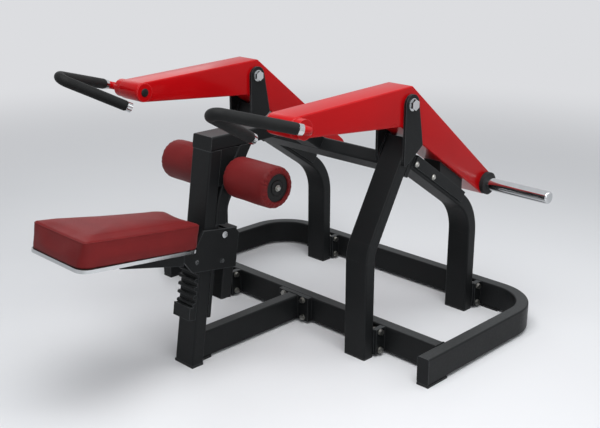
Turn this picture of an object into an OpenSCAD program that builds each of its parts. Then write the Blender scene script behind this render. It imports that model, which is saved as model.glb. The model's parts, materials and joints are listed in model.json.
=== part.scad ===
// Plate-loaded seated dip machine: two independent lever arms, thigh rollers and a sliding seat.
// The user sits in front of the upright, faces +Y with both thighs under the rollers, and presses the
// handles down. +X is the user's right.

/* [Frame tube] */
// Wide side of the frame tube
tube_w = 100; // [90:1:120]
// Narrow side of the frame tube
tube_t = 50; // [42:1:60]
// Wall of the frame tube
tube_wall = 3; // [2:0.5:5]
// Outside corner radius of the frame tube
tube_r = 7; // [6:0.5:12]
// Thickness of the joint plates
plate_t = 10; // [8:1:12]

/* [Base] */
// Half width over the side legs
base_half_w = 735; // [640:1:880]
// Centreline radius of the rear corner bends
bow_r = 170; // [130:1:200]
// Height of the rubber pads under the base
pad_h = 9; // [6:0.5:14]
// Length of a rubber pad
pad_l = 110; // [60:1:140]
// Upright foot to the front face of the front rail
front_rail_back = 578; // [560:1:640]
// Upright foot to the front face of the rear rail
rear_rail_back = 1186; // [1150:1:1400]

/* [Posts and struts] */
// Centre of each post, strut and arm from the middle plane
arm_x = 395; // [340:1:470]
// Upright foot to the front face of the posts
post_back = 477; // [440:1:500]
// Height of the bend in a post
post_bend_z = 405; // [360:1:440]
// Centreline radius of the bend in a post
post_bend_r = 120; // [80:1:180]
// Backward lean of the upper post
post_lean = 29.3; // [26:0.1:32]
// Length of the upper post from its bend to its top
post_upper_l = 432; // [400:1:520]
// Space between the back of a strut and the rear rail
strut_gap = 44; // [36:1:60]
// Height of the bend in a strut
strut_bend_z = 433; // [400:1:460]
// Centreline radius of the bend in a strut
strut_bend_r = 190; // [120:1:220]
// Fall of the upper strut and the cross beam, front to back
strut_fall = 34; // [31:0.5:37]
// Half height of the flange between a strut and its post
flange_half_h = 60; // [56:1:66]
// Cross beam centre below the strut, along the post
cross_drop = 22; // [10:1:30]
// Cross beam centre behind the middle of the post
cross_back = 42; // [30:1:50]

/* [Upright] */
// Backward lean of the front upright
lean = 8.5; // [6:0.1:11]
// Height of the middle of the top beam
beam_z = 802; // [780:1:840]
// Centreline radius of the bend in the top beam
beam_bend_r = 120; // [80:1:160]
// Lower end of the thigh brace, along the upright
brace_low = 526; // [520:1:560]
// Bend of the thigh brace, along the upright
brace_bend_u = 620; // [600:1:640]
// Centreline radius of the bend in the thigh brace
brace_bend_r = 200; // [120:1:260]
// Backward lean of the thigh brace off the upright
brace_lean = 24.5; // [20:0.5:28]
// Thickness of the gusset plates
gusset_t = 6; // [4:0.5:8]
// How far the gusset plates sit in from the tube sides
gusset_in = 4; // [3:0.5:8]

/* [Seat rack and guide] */
// Teeth on the seat rack
rack_teeth = 7; // [5:1:8]
// Pitch of the seat rack
rack_pitch = 30; // [26:0.5:34]
// Lowest tooth, along the upright
rack_low = 238; // [220:1:250]
// Width of the rack
rack_w = 90; // [70:1:96]
// Thickness of the rack strip behind the teeth
rack_strip = 6; // [4:0.5:8]
// How far a tooth stands out from the upright
tooth_out = 19; // [16:0.5:22]
// Thickness of a tooth, round at its tip
tooth_t = 14; // [10:0.5:16]
// Height of the stop block under the rack
stop_h = 47; // [30:1:50]
// How far the stop block stands out
stop_out = 30; // [22:1:36]
// Width of the guide bar on the back of the upright
guide_w = 98; // [80:1:100]
// Thickness of the guide bar
guide_t = 16; // [10:0.5:18]
// Lower end of the guide bar, along the upright
guide_low = 184; // [160:1:220]

/* [Thigh rollers] */
// Radius of the thigh rollers
roller_r = 75; // [65:0.5:85]
// Length of a thigh roller
roller_l = 204; // [170:1:230]
// Radius of the rounded ends of a roller
roller_end_r = 20; // [12:0.5:24]
// Distance of the rollers above the bend of the thigh brace
roller_up = 89; // [80:1:110]
// Radius of the roller axle
axle_r = 12.5; // [10:0.5:15]
// Wall of the roller core tube
core_wall = 8; // [5:0.5:10]
// Space taken by a collar between brace and roller
collar_l = 15; // [10:0.5:25]
// Radius of the roller end caps
cap_r = 48; // [40:0.5:56]
// Thickness of the roller end caps
cap_t = 8; // [5:0.5:10]

/* [Arms] */
// Width of an arm
arm_w = 110; // [96:1:120]
// Plate thickness of the arm
arm_wall = 5; // [3:0.5:8]
// Pivot above the top of the post
pivot_rise = 136; // [125:1:160]
// Pivot in front of the top of the post
pivot_fwd = 29; // [15:1:40]
// Pivot to the handle hub, forward
hub_front = 550; // [480:1:620]
// Handle hub above the pivot
hub_rise = 7; // [-20:1:20]
// Radius of the rounded front end of an arm
arm_front_r = 36; // [35:0.5:44]
// Crest of the arm above the pivot
crest_rise = 62; // [52:1:80]
// Crest of the arm behind the pivot
crest_back = 8; // [-10:1:20]
// Radius of the crest
crest_r = 14; // [8:0.5:24]
// Inner corner of the underside in front of the pivot
nook_front = 44; // [30:1:60]
// Inner corner of the underside below the pivot
nook_drop = 75; // [65:1:80]
// Pivot to the weight horn, backward
horn_back = 496; // [440:1:540]
// Weight horn below the pivot
horn_drop = 389; // [375:1:400]
// Radius of the rounded rear end of an arm
arm_rear_r = 45; // [40:0.5:48]
// Radius of the pivot shaft
pivot_r = 12.5; // [10:0.5:15]
// Outside radius of the pivot tube in an arm
pivot_tube_r = 30; // [26:0.5:36]
// Wall of the pivot tube
pivot_tube_wall = 7; // [4:0.5:8]
// Length of a pivot bush
bush_l = 28; // [18:1:40]
// Thickness of an ear plate
ear_t = 10; // [8:1:14]
// Radius of the top of an ear
ear_r = 36; // [30:0.5:40]
// Ear below the pivot at the front
ear_drop = 218; // [190:1:230]
// Ear below the pivot at the back
ear_rear_drop = 160; // [150:1:175]
// Ear behind the pivot
ear_back = 64; // [50:1:75]
// Corner radius of the ears
ear_corner_r = 8; // [5:0.5:12]

/* [Handles] */
// Radius of the handle bar
bar_r = 14; // [12:0.5:16]
// Wall of the handle bar, which is a tube
bar_wall = 3; // [2:0.5:4]
// Outside radius of the handle hub
hub_r = 33; // [28:0.5:34]
// Hub stands out past the outer face of the arm
hub_out = 30; // [15:1:45]
// Hub stands out past the inner face of the arm
hub_in = 4; // [2:0.5:10]
// Wall of the hub
hub_wall = 6; // [4:0.5:8]
// Thickness of the end rings of the hub
hub_ring_l = 14; // [8:1:20]
// Arm middle to the bend of the handle bar
handle_out = 134; // [124:1:160]
// Bend of the bar to the point of the V
handle_l = 385; // [360:1:420]
// Point of the V to the free end of the bar
handle_return_l = 319; // [290:1:340]
// Upward pitch of the handle
handle_pitch = 22.3; // [10:0.1:30]
// Outward roll of the handle
handle_roll = 19.5; // [5:0.1:30]
// Inward turn of the handle
handle_yaw = 2.9; // [0:0.1:8]
// Half angle of the V
handle_half = 17.6; // [16:0.1:20]
// Centreline radius of the bend by the hub
handle_bend_r = 34; // [30:0.5:40]
// Centreline radius of the point of the V
handle_tip_r = 22.5; // [22.5, 26, 28]
// Radius of the foam grip
grip_r = 20.5; // [18:0.5:24]
// Radius of the collars at both ends of the grip
ring_r = 18; // [17:0.5:20]
// Length of a collar
ring_l = 17; // [10:0.5:24]
// Bend of the bar to the first collar
ring_start = 50; // [46:0.5:70]

/* [Weight horns] */
// Radius of a weight horn
horn_r = 25; // [12:0.5:26]
// Length of a weight horn past its collar
horn_l = 262; // [200:1:320]
// Radius of the rounded end of a horn
horn_tip_l = 8; // [4:0.5:10]
// Radius of the spindle that holds the horn in the arm
spindle_r = 15; // [10:0.5:18]
// Radius of the plate collar
collar_r = 44; // [36:0.5:56]
// Thickness of the plate collar
collar_t = 17; // [10:0.5:22]

/* [Arm stops] */
// Length of the saddle on a strut
saddle_l = 362; // [300:1:364]
// Space between a saddle and the flange of its strut
saddle_start = 8; // [6:0.5:10]
// Thickness of the saddle
saddle_t = 6; // [4:0.5:8]
// Depth of the saddle's sides
saddle_side = 36; // [24:1:48]
// Length of the rubber bumper
bumper_l = 174; // [140:1:190]
// Width of the rubber bumper
bumper_w = 76; // [60:1:90]
// Gap between the bumper and the resting arm
stop_gap = 0.3; // [0.2:0.1:1]

/* [Seat] */
// Length of the seat
seat_l = 502; // [460:1:540]
// Width of the seat at the front
seat_front_w = 306; // [280:1:340]
// Width of the seat by the upright
seat_rear_w = 214; // [190:1:240]
// Corner radius of the seat
seat_corner_r = 34; // [24:1:44]
// Upright to the rear edge of the seat
seat_gap = 58; // [54:1:80]
// Underside of the seat, along the upright
seat_u = 453; // [445:1:470]
// Height of the trim band
rim_h = 12; // [10:0.5:16]
// Thickness of the trim band
rim_t = 3; // [2:0.5:5]
// Height of the cushion
cushion_h = 90; // [70:1:110]
// Squareness of the cushion's crown
cushion_n = 5; // [3:0.5:7]

/* [Seat carriage] */
// Thickness of the carriage side plates
side_t = 8; // [6:0.5:10]
// Running gap between upright and side plates
side_gap = 2; // [1:0.5:3]
// Back of the upright to the tail tube
tail_gap = 54; // [50:1:64]
// Lower end of the tail tube, along the upright
tail_low = 249; // [235:1:270]
// Upper end of the carriage, along the upright
carriage_top = 512; // [506:1:516]
// Lower end of the side plates, along the upright
carriage_low = 366; // [350:1:372]
// Height of the upper glide, along the upright
glide_high_u = 492; // [484:1:494]
// Height of the lower glide, along the upright
glide_low_u = 396; // [392:1:410]
// Radius of the glide pins
pin_r = 8; // [6:0.5:9]
// Length of the seat arm under the seat
seat_arm_l = 330; // [260:1:400]
// Height of the seat arm where it meets the carriage
seat_arm_h = 46; // [40:1:50]
// Width of the seat arm in front of the carriage
seat_arm_w = 180; // [140:1:200]

/* [Hidden] */
$fn = 96;
// Radial clearance of a shaft that turns in a bush
run_fit = 0.05;
// Side clearance between an arm's bushes and its ears
face_fit = 0.5;
// Clearance of a bolt or a press fit in its hole
hole_fit = 0.1;
bolt_fit = 0.5;
// Frame bolts: shank, head across corners, head height, washer
bolt_r = 6;
bolt_head_r = 11;
bolt_head_h = 7.5;
washer_r = 12.5;
washer_t = 2.5;
bolt_edge = 14;
// Paint between two bolted plates
paint_gap = 0.2;
// Lap of a straight run over a bend, and how much thinner the wall of a bend is on each face
bend_lap = 1;
bend_thin = 0.1;
$thin = 0;
// End wall of the collar on the free end of the handle, and the lap of the collars into the bar
ring_end = 2;
ring_lap = 1;
big = 4000;

frame_col = "#2a2d2e";
arm_col = "#b80f18";
vinyl_col = "#7a2224";
chrome_col = "#c9cbcc";
rubber_col = "#17181a";
zinc_col = "#9a9c9d";

// Places along Y, from the overall reach in front of and behind the upright's foot
rear_reach = rear_rail_back + tube_t;
seat_reach = (seat_gap + seat_l) * cos(lean) - seat_u * sin(lean);
upright_y = (seat_reach - rear_reach) / 2;
post_cy = upright_y + post_back + tube_t / 2;
front_rail_cy = upright_y + front_rail_back + tube_t / 2;
rear_rail_cy = upright_y + rear_rail_back + tube_t / 2;
strut_cy = rear_rail_cy - tube_t - strut_gap;
leg_cx = base_half_w - tube_t / 2;
leg_front_y = upright_y + post_back;
base_top = pad_h + tube_w;
foot_h = 6;
plug_h = 20;

// Upper post, strut and cross beam, as [Y, Z] in the side view
function lean_up(a) = [sin(a), cos(a)];
function lean_back(a) = [cos(a), -sin(a)];
post_bend = [post_cy, post_bend_z];
post_top = post_bend + post_upper_l * lean_up(post_lean);
strut_bend = [strut_cy, strut_bend_z];
strut_dir = [-cos(strut_fall), sin(strut_fall)];
strut_up = [sin(strut_fall), cos(strut_fall)];
flange_back = tube_t / 2 + plate_t;
strut_l = (flange_back + plate_t - (strut_bend - post_bend) * lean_back(post_lean))
  / (strut_dir * lean_back(post_lean));
strut_seat = strut_bend + strut_l * strut_dir;
flange_u = (strut_seat - post_bend) * lean_up(post_lean);
cross_mid = post_bend + (flange_u - cross_drop) * lean_up(post_lean) + cross_back * lean_back(post_lean);
beam_end = cross_mid + tube_w / 2 * strut_dir;
beam_bend = [beam_end.x - (beam_z - beam_end.y) / tan(strut_fall), beam_z];
beam_under = beam_z - tube_t / 2;

// Arm outline, as [Y, Z] in the side view
pivot = post_top + [-pivot_fwd, pivot_rise];
hub = pivot + [-hub_front, hub_rise];
horn = pivot + [horn_back, -horn_drop];
crest = pivot + [crest_back, crest_rise] - [0, crest_r];
nook = pivot + [-nook_front, -nook_drop];
arm_circles = [[nook, 0], [horn, arm_rear_r], [crest, crest_r], [hub, arm_front_r]];
ear_gap = max(arm_w + 2 * face_fit + 4, tube_w + 5);
bush_r = pivot_tube_r - pivot_tube_wall;

// Rear underside of the arm, where the stop meets it
under_a = belt_edge(arm_circles[0], arm_circles[1])[0];
under_b = belt_edge(arm_circles[0], arm_circles[1])[1];
function under_at(y) = under_a.y + (under_b.y - under_a.y) * (y - under_a.x) / (under_b.x - under_a.x);

// Thigh brace, in the upright's own plane: v across, u along
brace_v = tube_t * 1.5;
roller_vu = [brace_v, brace_bend_u] + roller_up * lean_up(brace_lean);
collar_out = tube_w / 2 + collar_l;
roller_in = collar_out + face_fit;
roller_out = roller_in + roller_l;
core_r = axle_r + run_fit + core_wall;

// Seat carriage
side_in = tube_w / 2 + side_gap;
side_out = side_in + side_t;
tail_v = tube_t + tail_gap + tube_t / 2;
guide_back = tube_t + guide_t;
glide_v = (guide_back + tube_t + tail_gap) / 2;
glide_r = glide_v - guide_back - stop_gap;
latch_v = -(tooth_out + 1 + pin_r);
latch_u = rack_low + rack_pitch * (rack_teeth - 1.5);

// Handle: Z of its frame runs up the outer leg of the V and Y points across to the inner leg
handle_fwd = [-sin(handle_yaw) * cos(handle_pitch), -cos(handle_yaw) * cos(handle_pitch), sin(handle_pitch)];
handle_level = unit(cross([0, 0, 1], handle_fwd));
handle_side = handle_level * cos(handle_roll) + cross(handle_fwd, handle_level) * sin(handle_roll);
handle_z = handle_fwd * cos(handle_half) - handle_side * sin(handle_half);
handle_y = -handle_fwd * sin(handle_half) - handle_side * cos(handle_half);
handle_x = cross(handle_y, handle_z);
handle_turn = 180 - 2 * handle_half;

// Plane geometry

function unit(v) = v / norm(v);

// Ends of the outer tangent from one circle to the next, going anticlockwise round them
function belt_edge(a, b) =
  let (d = b[0] - a[0], u = unit(d), s = (a[1] - b[1]) / norm(d), m = [u.y, -u.x] * sqrt(1 - s * s) + u * s)
  [a[0] + a[1] * m, b[0] + b[1] * m];

function belt_points(c) = [for (i = [0:len(c) - 1]) each belt_edge(c[i], c[(i + 1) % len(c)])];

function distinct(p) = [for (i = [0:len(p) - 1]) if (norm(p[i] - p[(i + 1) % len(p)]) > 0.001) p[i]];

function inset(c, t) = [for (k = c) [k[0], k[1] - t]];

// Outline drawn tight round a ring of circles; a radius of zero or less is an inner corner
module belt(c) {
  polygon(distinct(belt_points(c)));
  for (k = c) if (k[1] > 0) translate(k[0]) circle(k[1]);
}

// Round bar, drawn thinner inside a bend
module rod_profile(r) {
  circle(r - $thin);
}

// Handle bar; inside a bend its wall is thinner
module bar_profile() {
  difference() {
    rod_profile(bar_r);
    circle(bar_r - bar_wall + $thin);
  }
}

module round_rect(w, h, r) {
  square([w - 2 * r, h], center = true);
  square([w, h - 2 * r], center = true);
  for (sx = [-1, 1], sy = [-1, 1]) translate([sx * (w / 2 - r), sy * (h / 2 - r)]) circle(r);
}

// Frame tube; inside a bend its wall is thinner
module tube_profile(w, t) {
  hollow = 2 * (tube_wall - $thin);
  difference() {
    round_rect(w - 2 * $thin, t - 2 * $thin, tube_r);
    round_rect(w - hollow, t - hollow, tube_r - tube_wall);
  }
}

// Shapes that repeat

// A side view [Y, Z] extruded evenly across X
module across(w) {
  translate([-w / 2, 0, 0]) rotate([90, 0, 90]) linear_extrude(w) children();
}

module pin_x(x0, x1, r) {
  translate([x0, 0, 0]) rotate([0, 90, 0]) cylinder(h = x1 - x0, r = r);
}

module tube_run(l, w = tube_w) {
  linear_extrude(l) tube_profile(w, tube_t);
}

module tube_cap(w = tube_w) {
  linear_extrude(tube_wall) round_rect(w, tube_t, tube_r);
}

// A run up Z that turns towards +Y: the first child is its profile, and both lengths reach to the corner.
// The wall of the bend is drawn a little thinner, and the straight runs lap over it.
// A second child is the outline of a plate, end_t thick, that closes the far end.
module bent(l1, r, a, l2, end_t = 0) {
  t = r * tan(a / 2);
  far_l = l2 - t + bend_lap - end_t;
  translate([0, r, l1 - t]) rotate([90, 0, -90]) {
    translate([r, bend_lap, 0]) rotate([90, 0, 0]) linear_extrude(l1 - t + bend_lap) rotate(90) children(0);
    rotate_extrude(angle = a) translate([r, 0]) rotate(90) {
      $thin = bend_thin;
      children(0);
    }
    rotate([0, 0, a]) translate([r, -bend_lap, 0]) rotate([-90, 0, 0]) {
      linear_extrude(far_l) rotate(90) children(0);
      if (end_t > 0) translate([0, 0, far_l]) linear_extrude(end_t) rotate(90) children(1);
    }
  }
}

module bent_tube(l1, r, a, l2, closed = false) {
  bent(l1, r, a, l2, closed ? tube_wall : 0) {
    tube_profile(tube_w, tube_t);
    round_rect(tube_w, tube_t, tube_r);
  }
}

// A frame bolt through two joint plates along +Z, from the face of the first plate
module frame_bolt(nut = true) {
  grip = 2 * plate_t;
  translate([0, 0, -washer_t - bolt_head_h]) cylinder(h = bolt_head_h, r = bolt_head_r, $fn = 6);
  translate([0, 0, -washer_t]) cylinder(h = washer_t, r = washer_r);
  translate([0, 0, -washer_t]) cylinder(h = washer_t + grip + (nut ? washer_t + bolt_head_h + 4 : 0), r = bolt_r);
  if (nut) {
    translate([0, 0, grip]) cylinder(h = washer_t, r = washer_r);
    translate([0, 0, grip + washer_t]) cylinder(h = bolt_head_h + 2, r = bolt_head_r, $fn = 6);
  }
}

module bolt_hole(depth) {
  translate([0, 0, -1]) cylinder(h = depth + 2, r = bolt_r + bolt_fit);
}

// Frames of the sloping pieces

module on_upright() {
  translate([0, upright_y, 0]) rotate([-lean, 0, 0]) children();
}

module on_post() {
  translate([arm_x, post_bend.x, post_bend.y]) rotate([-post_lean, 0, 0]) children();
}

// Z runs up the strut and Y stands square off its top
module on_strut() {
  translate([arm_x, strut_bend.x, strut_bend.y]) rotate([90 - strut_fall, 0, 0]) children();
}

module at_side(yz) {
  translate([0, yz.x, yz.y]) children();
}

module left() {
  mirror([1, 0, 0]) children();
}

module both() {
  children();
  mirror([1, 0, 0]) children();
}

// Base

module base_corner() {
  translate([arm_x, rear_rail_cy, pad_h + tube_w / 2]) rotate([180, 0, 0]) rotate([0, 90, 0])
    bent_tube(leg_cx - arm_x, bow_r, 90, rear_rail_cy - leg_front_y, closed = true);
  translate([arm_x, front_rail_cy, pad_h + tube_w / 2]) rotate([0, 90, 0])
    tube_run(base_half_w - tube_t + tube_wall / 2 - arm_x);
}

module base_corner_right() {
  color(frame_col) base_corner();
}

module base_corner_left() {
  color(frame_col) left() base_corner();
}

// Rails meet the base corners end to end behind the posts
module rail(cy) {
  translate([-arm_x, cy, pad_h + tube_w / 2]) rotate([0, 90, 0]) tube_run(2 * arm_x);
}

module front_rail() {
  color(frame_col) rail(front_rail_cy);
}

module rear_rail() {
  color(frame_col) rail(rear_rail_cy);
}

// Back face of the post and of the rail at the front and rear joints
joints_y = [[post_cy + tube_t / 2, front_rail_cy + tube_t / 2], [strut_cy + tube_t / 2, rear_rail_cy + tube_t / 2]];

// Children are placed with X across the plates, outward, once on each side of every post foot
module at_rail_joints() {
  for (j = joints_y) both() for (s = [-1, 1])
    translate([arm_x, 0, 0]) mirror([s < 0 ? 1 : 0, 0, 0]) translate([tube_w / 2, 0, 0]) {
      $post_y = j[0];
      $rail_y = j[1];
      children();
    }
}

module at_joint_bolts() {
  for (z = [pad_h + bolt_edge, base_top - bolt_edge])
    translate([0, $post_y + ($rail_y - tube_t - $post_y) / 2, z]) rotate([0, 90, 0]) children();
}

lug_gap = 3;

// Lugs welded on the front of the rails and of the base corners
module rail_plates() {
  color(frame_col) at_rail_joints() difference() {
    translate([0, $post_y + lug_gap, pad_h]) cube([plate_t, $rail_y - tube_t - $post_y - lug_gap, tube_w]);
    at_joint_bolts() bolt_hole(plate_t);
  }
}

// Lugs welded on the back of the posts and struts
module post_plates() {
  color(frame_col) at_rail_joints() difference() {
    translate([-plate_t, $post_y, pad_h]) cube([plate_t, $rail_y - tube_t - $post_y - lug_gap, tube_w]);
    translate([-plate_t, 0, 0]) at_joint_bolts() bolt_hole(plate_t);
  }
}

centre_flange_w = 160;

module centre_beam() {
  front_face = front_rail_cy - tube_t / 2 - 2 * plate_t;
  color(frame_col) difference() {
    translate([0, upright_y, pad_h + tube_w / 2]) rotate([-90, 90, 0]) tube_run(front_face - upright_y);
    on_upright() translate([-big / 2, tube_t - big, -big / 2]) cube(big);
  }
}

module at_centre_bolts() {
  for (x = [-1, 1], z = [pad_h + bolt_edge, base_top - bolt_edge])
    translate([x * (centre_flange_w / 2 - 2 * bolt_edge), front_rail_cy - tube_t / 2 - 2 * plate_t, z])
      rotate([-90, 0, 0]) children();
}

module centre_flanges() {
  color(frame_col) for (k = [0, 1]) difference() {
    translate([-centre_flange_w / 2, front_rail_cy - tube_t / 2 - 2 * plate_t + k * (plate_t + paint_gap), pad_h])
      cube([centre_flange_w, plate_t - k * paint_gap, tube_w]);
    at_centre_bolts() bolt_hole(2 * plate_t);
  }
}

// Posts and struts

module front_post() {
  translate([arm_x, post_cy, foot_h])
    bent_tube(post_bend_z - foot_h, post_bend_r, post_lean, post_upper_l, closed = true);
}

module front_post_right() {
  color(frame_col) front_post();
}

module front_post_left() {
  color(frame_col) left() front_post();
}

module rear_strut() {
  spare = tube_t;
  difference() {
    translate([arm_x, strut_cy, foot_h]) mirror([0, 1, 0])
      bent_tube(strut_bend_z - foot_h, strut_bend_r, 90 - strut_fall, strut_l + spare);
    on_post() translate([-big / 2, flange_back + plate_t - big, -big / 2]) cube(big);
  }
}

module rear_strut_right() {
  color(frame_col) rear_strut();
}

module rear_strut_left() {
  color(frame_col) left() rear_strut();
}

module at_flange_bolts() {
  for (x = [-1, 1], u = [-1, 1])
    translate([x * (tube_w / 2 - 1.5 * bolt_edge), tube_t / 2, flange_u + u * (flange_half_h - bolt_edge)])
      rotate([-90, 0, 0]) children();
}

module strut_flanges() {
  color(frame_col) both() on_post() for (k = [0, 1]) difference() {
    translate([-tube_w / 2, tube_t / 2 + k * (plate_t + paint_gap), flange_u - flange_half_h])
      cube([tube_w, plate_t - k * paint_gap, 2 * flange_half_h]);
    at_flange_bolts() bolt_hole(2 * plate_t);
  }
}

module frame_bolts() {
  color(zinc_col) {
    at_rail_joints() at_joint_bolts() translate([0, 0, plate_t]) mirror([0, 0, 1]) frame_bolt();
    at_centre_bolts() frame_bolt(nut = false);
    both() on_post() at_flange_bolts() translate([0, 0, 2 * plate_t]) mirror([0, 0, 1]) frame_bolt(nut = false);
  }
}

module cross_beam() {
  half_l = arm_x - tube_w / 2;
  color(frame_col) translate([-half_l, cross_mid.x, cross_mid.y]) rotate([-strut_fall, 0, 0]) rotate([0, 90, 0])
    rotate([0, 0, 90]) tube_run(2 * half_l);
}

// Room for the right end of the cross beam
module cross_beam_room() {
  at_side(cross_mid) rotate([-strut_fall, 0, 0]) translate([0, -tube_w / 2 - paint_gap, -tube_t / 2 - paint_gap])
    cube([arm_x - tube_w / 2, tube_w + 2 * paint_gap, tube_t + 2 * paint_gap]);
}

// Rubber pads under the legs, the rear corners and the upright, and plugs in the post feet
module floor_pads() {
  rear_pad_x = leg_cx - bow_r - pad_l / 2;
  color(rubber_col) {
    both() translate([leg_cx - tube_t / 2, leg_front_y, 0]) cube([tube_t, pad_l, pad_h]);
    both() translate([rear_pad_x - pad_l / 2, rear_rail_cy - tube_t / 2, 0]) cube([pad_l, tube_t, pad_h]);
    translate([-tube_w / 2, upright_y, 0]) cube([tube_w, tube_t, pad_h]);
    translate([-tube_t / 2, upright_y + tube_t - 1, 0]) cube([tube_t, pad_l - tube_t + 1, pad_h]);
    both() for (cy = [post_cy, strut_cy]) translate([arm_x, cy, 0]) {
      linear_extrude(foot_h) round_rect(tube_w, tube_t, tube_r);
      linear_extrude(foot_h + plug_h)
        round_rect(tube_w - 2 * tube_wall - hole_fit, tube_t - 2 * tube_wall - hole_fit, tube_r - tube_wall);
    }
  }
}

// Upright group

module front_upright() {
  color(frame_col) difference() {
    on_upright() translate([0, tube_t / 2, -tube_t]) tube_run(beam_z / cos(lean) + tube_t);
    translate([-big / 2, -big / 2, pad_h - big]) cube(big);
    translate([-big / 2, -big / 2, beam_under]) cube(big);
  }
}

module thigh_brace() {
  spare = tube_w;
  color(frame_col) difference() {
    on_upright() {
      translate([0, brace_v, brace_low])
        bent_tube(brace_bend_u - brace_low, brace_bend_r, brace_lean, beam_z - brace_bend_u + spare);
      translate([0, brace_v, brace_low]) tube_cap();
    }
    translate([-big / 2, -big / 2, beam_under]) cube(big);
    on_upright() translate([0, roller_vu.x, roller_vu.y]) pin_x(-tube_w, tube_w, axle_r + hole_fit);
  }
}

// Plates that fill the wedge between the upright, the brace and the top beam
module upright_gussets() {
  wedge_low = brace_bend_u + brace_bend_r * tan(brace_lean / 2);
  slope = tan(brace_lean);
  color(frame_col) both() difference() {
    on_upright() translate([tube_w / 2 - gusset_in - gusset_t / 2, 0, 0]) across(gusset_t) polygon([
      [tube_t, wedge_low],
      [tube_t + (wedge_low - brace_bend_u) * slope - tube_t / 2 / cos(brace_lean) + tube_t / 2, wedge_low],
      [tube_t + (beam_z - brace_bend_u) * slope - tube_t / 2 / cos(brace_lean) + tube_t / 2, beam_z],
      [tube_t, beam_z]
    ]);
    translate([-big / 2, -big / 2, beam_under]) cube(big);
  }
}

// Tube from the upright to the cross beam, with a plate in its front end
module top_beam() {
  spare = tube_t;
  front_y = upright_y + beam_z * tan(lean);
  color(frame_col) {
    difference() {
      translate([0, front_y - spare, beam_z]) rotate([-90, 0, 0])
        bent_tube(beam_bend.x - front_y + spare, beam_bend_r, strut_fall, norm(beam_end - beam_bend));
      on_upright() translate([-big / 2, -big, -big / 2]) cube(big);
    }
    intersection() {
      translate([0, front_y - spare, beam_z]) rotate([-90, 0, 0]) linear_extrude(2 * spare)
        round_rect(tube_w - tube_wall, tube_t - tube_wall, tube_r - tube_wall / 2);
      on_upright() translate([-big / 2, 0, -big / 2]) cube([big, tube_wall, big]);
    }
  }
}

module guide_bar() {
  color(zinc_col) on_upright() translate([-guide_w / 2, tube_t, guide_low])
    cube([guide_w, guide_t, brace_low - guide_low]);
}

// Strip with round-nosed teeth, and the stop block under it
module seat_rack() {
  rack_top = rack_low + rack_pitch * (rack_teeth - 1) + tooth_t;
  color(frame_col) on_upright() across(rack_w) {
    translate([-rack_strip, rack_low - tooth_t]) square([rack_strip, rack_top - rack_low + tooth_t]);
    for (k = [0:rack_teeth - 1]) translate([0, rack_low + k * rack_pitch]) {
      translate([-tooth_out + tooth_t / 2, -tooth_t / 2]) square([tooth_out - tooth_t / 2, tooth_t]);
      translate([-tooth_out + tooth_t / 2, 0]) circle(tooth_t / 2);
    }
    translate([-stop_out, rack_low - tooth_t / 2 - stop_h]) square([stop_out, stop_h]);
  }
}

// Arm stops

// Channel over each strut; its inner side is notched for the cross beam
module stop_saddles() {
  half_w = tube_w / 2;
  color(frame_col) both() difference() {
    on_strut() translate([0, tube_t / 2, strut_l - saddle_start - saddle_l]) {
      translate([-half_w - saddle_t, 0, 0]) cube([tube_w + 2 * saddle_t, saddle_t, saddle_l]);
      for (s = [-1, 1]) translate([s * (half_w + saddle_t / 2) - saddle_t / 2, -saddle_side, 0])
        cube([saddle_t, saddle_side + saddle_t, saddle_l]);
    }
    cross_beam_room();
  }
}

// The block fills the space between the saddle and the underside of the resting arm
module stop_bumpers() {
  saddle_end = strut_l - saddle_start - saddle_l;
  ends = [saddle_end + bumper_l, saddle_end];
  low = [for (u = ends) strut_bend + u * strut_dir + (tube_t / 2 + saddle_t) * strut_up];
  color(rubber_col) both() translate([arm_x, 0, 0]) across(bumper_w) polygon([
    low[0], low[1],
    [low[1].x, under_at(low[1].x) - stop_gap / cos(strut_fall)],
    [low[0].x, under_at(low[0].x) - stop_gap / cos(strut_fall)]
  ]);
}

// Arm pivots

ear_circles = [
  [pivot + [-ear_r + ear_corner_r, -ear_drop + ear_corner_r], ear_corner_r],
  [pivot + [ear_back - ear_corner_r, -ear_rear_drop + ear_corner_r], ear_corner_r],
  [pivot, ear_r]
];

// Each ear has a thick foot that fills the space to the side of the post, and the inner ears are notched for
// the cross beam
module pivot_ears() {
  foot_t = (ear_gap - tube_w) / 2;
  color(frame_col) both() for (s = [-1, 1]) difference() {
    union() {
      translate([arm_x + s * (ear_gap + ear_t) / 2, 0, 0]) across(ear_t) belt(ear_circles);
      intersection() {
        translate([arm_x + s * (tube_w + foot_t) / 2, 0, 0]) across(foot_t) belt(ear_circles);
        on_post() translate([-big / 2, -tube_t / 2, 0]) cube([big, tube_t, post_upper_l]);
      }
    }
    at_side(pivot) pin_x(0, 2 * arm_x, pivot_r + hole_fit);
    if (s < 0) cross_beam_room();
  }
}

module pivot_bolts() {
  half_l = ear_gap / 2 + ear_t;
  head_h = 12;
  color(chrome_col) both() translate([arm_x, 0, 0]) at_side(pivot) {
    pin_x(-half_l - washer_t - head_h, half_l + washer_t + head_h, pivot_r);
    for (s = [0, 1]) mirror([s, 0, 0]) {
      pin_x(half_l, half_l + washer_t, 1.8 * pivot_r);
      translate([half_l + washer_t, 0, 0]) rotate([0, 90, 0]) cylinder(h = head_h, r = 1.6 * pivot_r, $fn = 6);
    }
  }
}

// Arms, drawn on the right

module arm() {
  translate([arm_x, 0, 0]) difference() {
    across(arm_w) belt(arm_circles);
    across(arm_w - 2 * arm_wall) belt(inset(arm_circles, arm_wall));
    at_side(pivot) pin_x(-arm_w, arm_w, pivot_tube_r);
    at_side(hub) pin_x(-arm_w, arm_w, hub_r);
    at_side(horn) pin_x(-arm_w, arm_w, spindle_r);
  }
}

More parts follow.
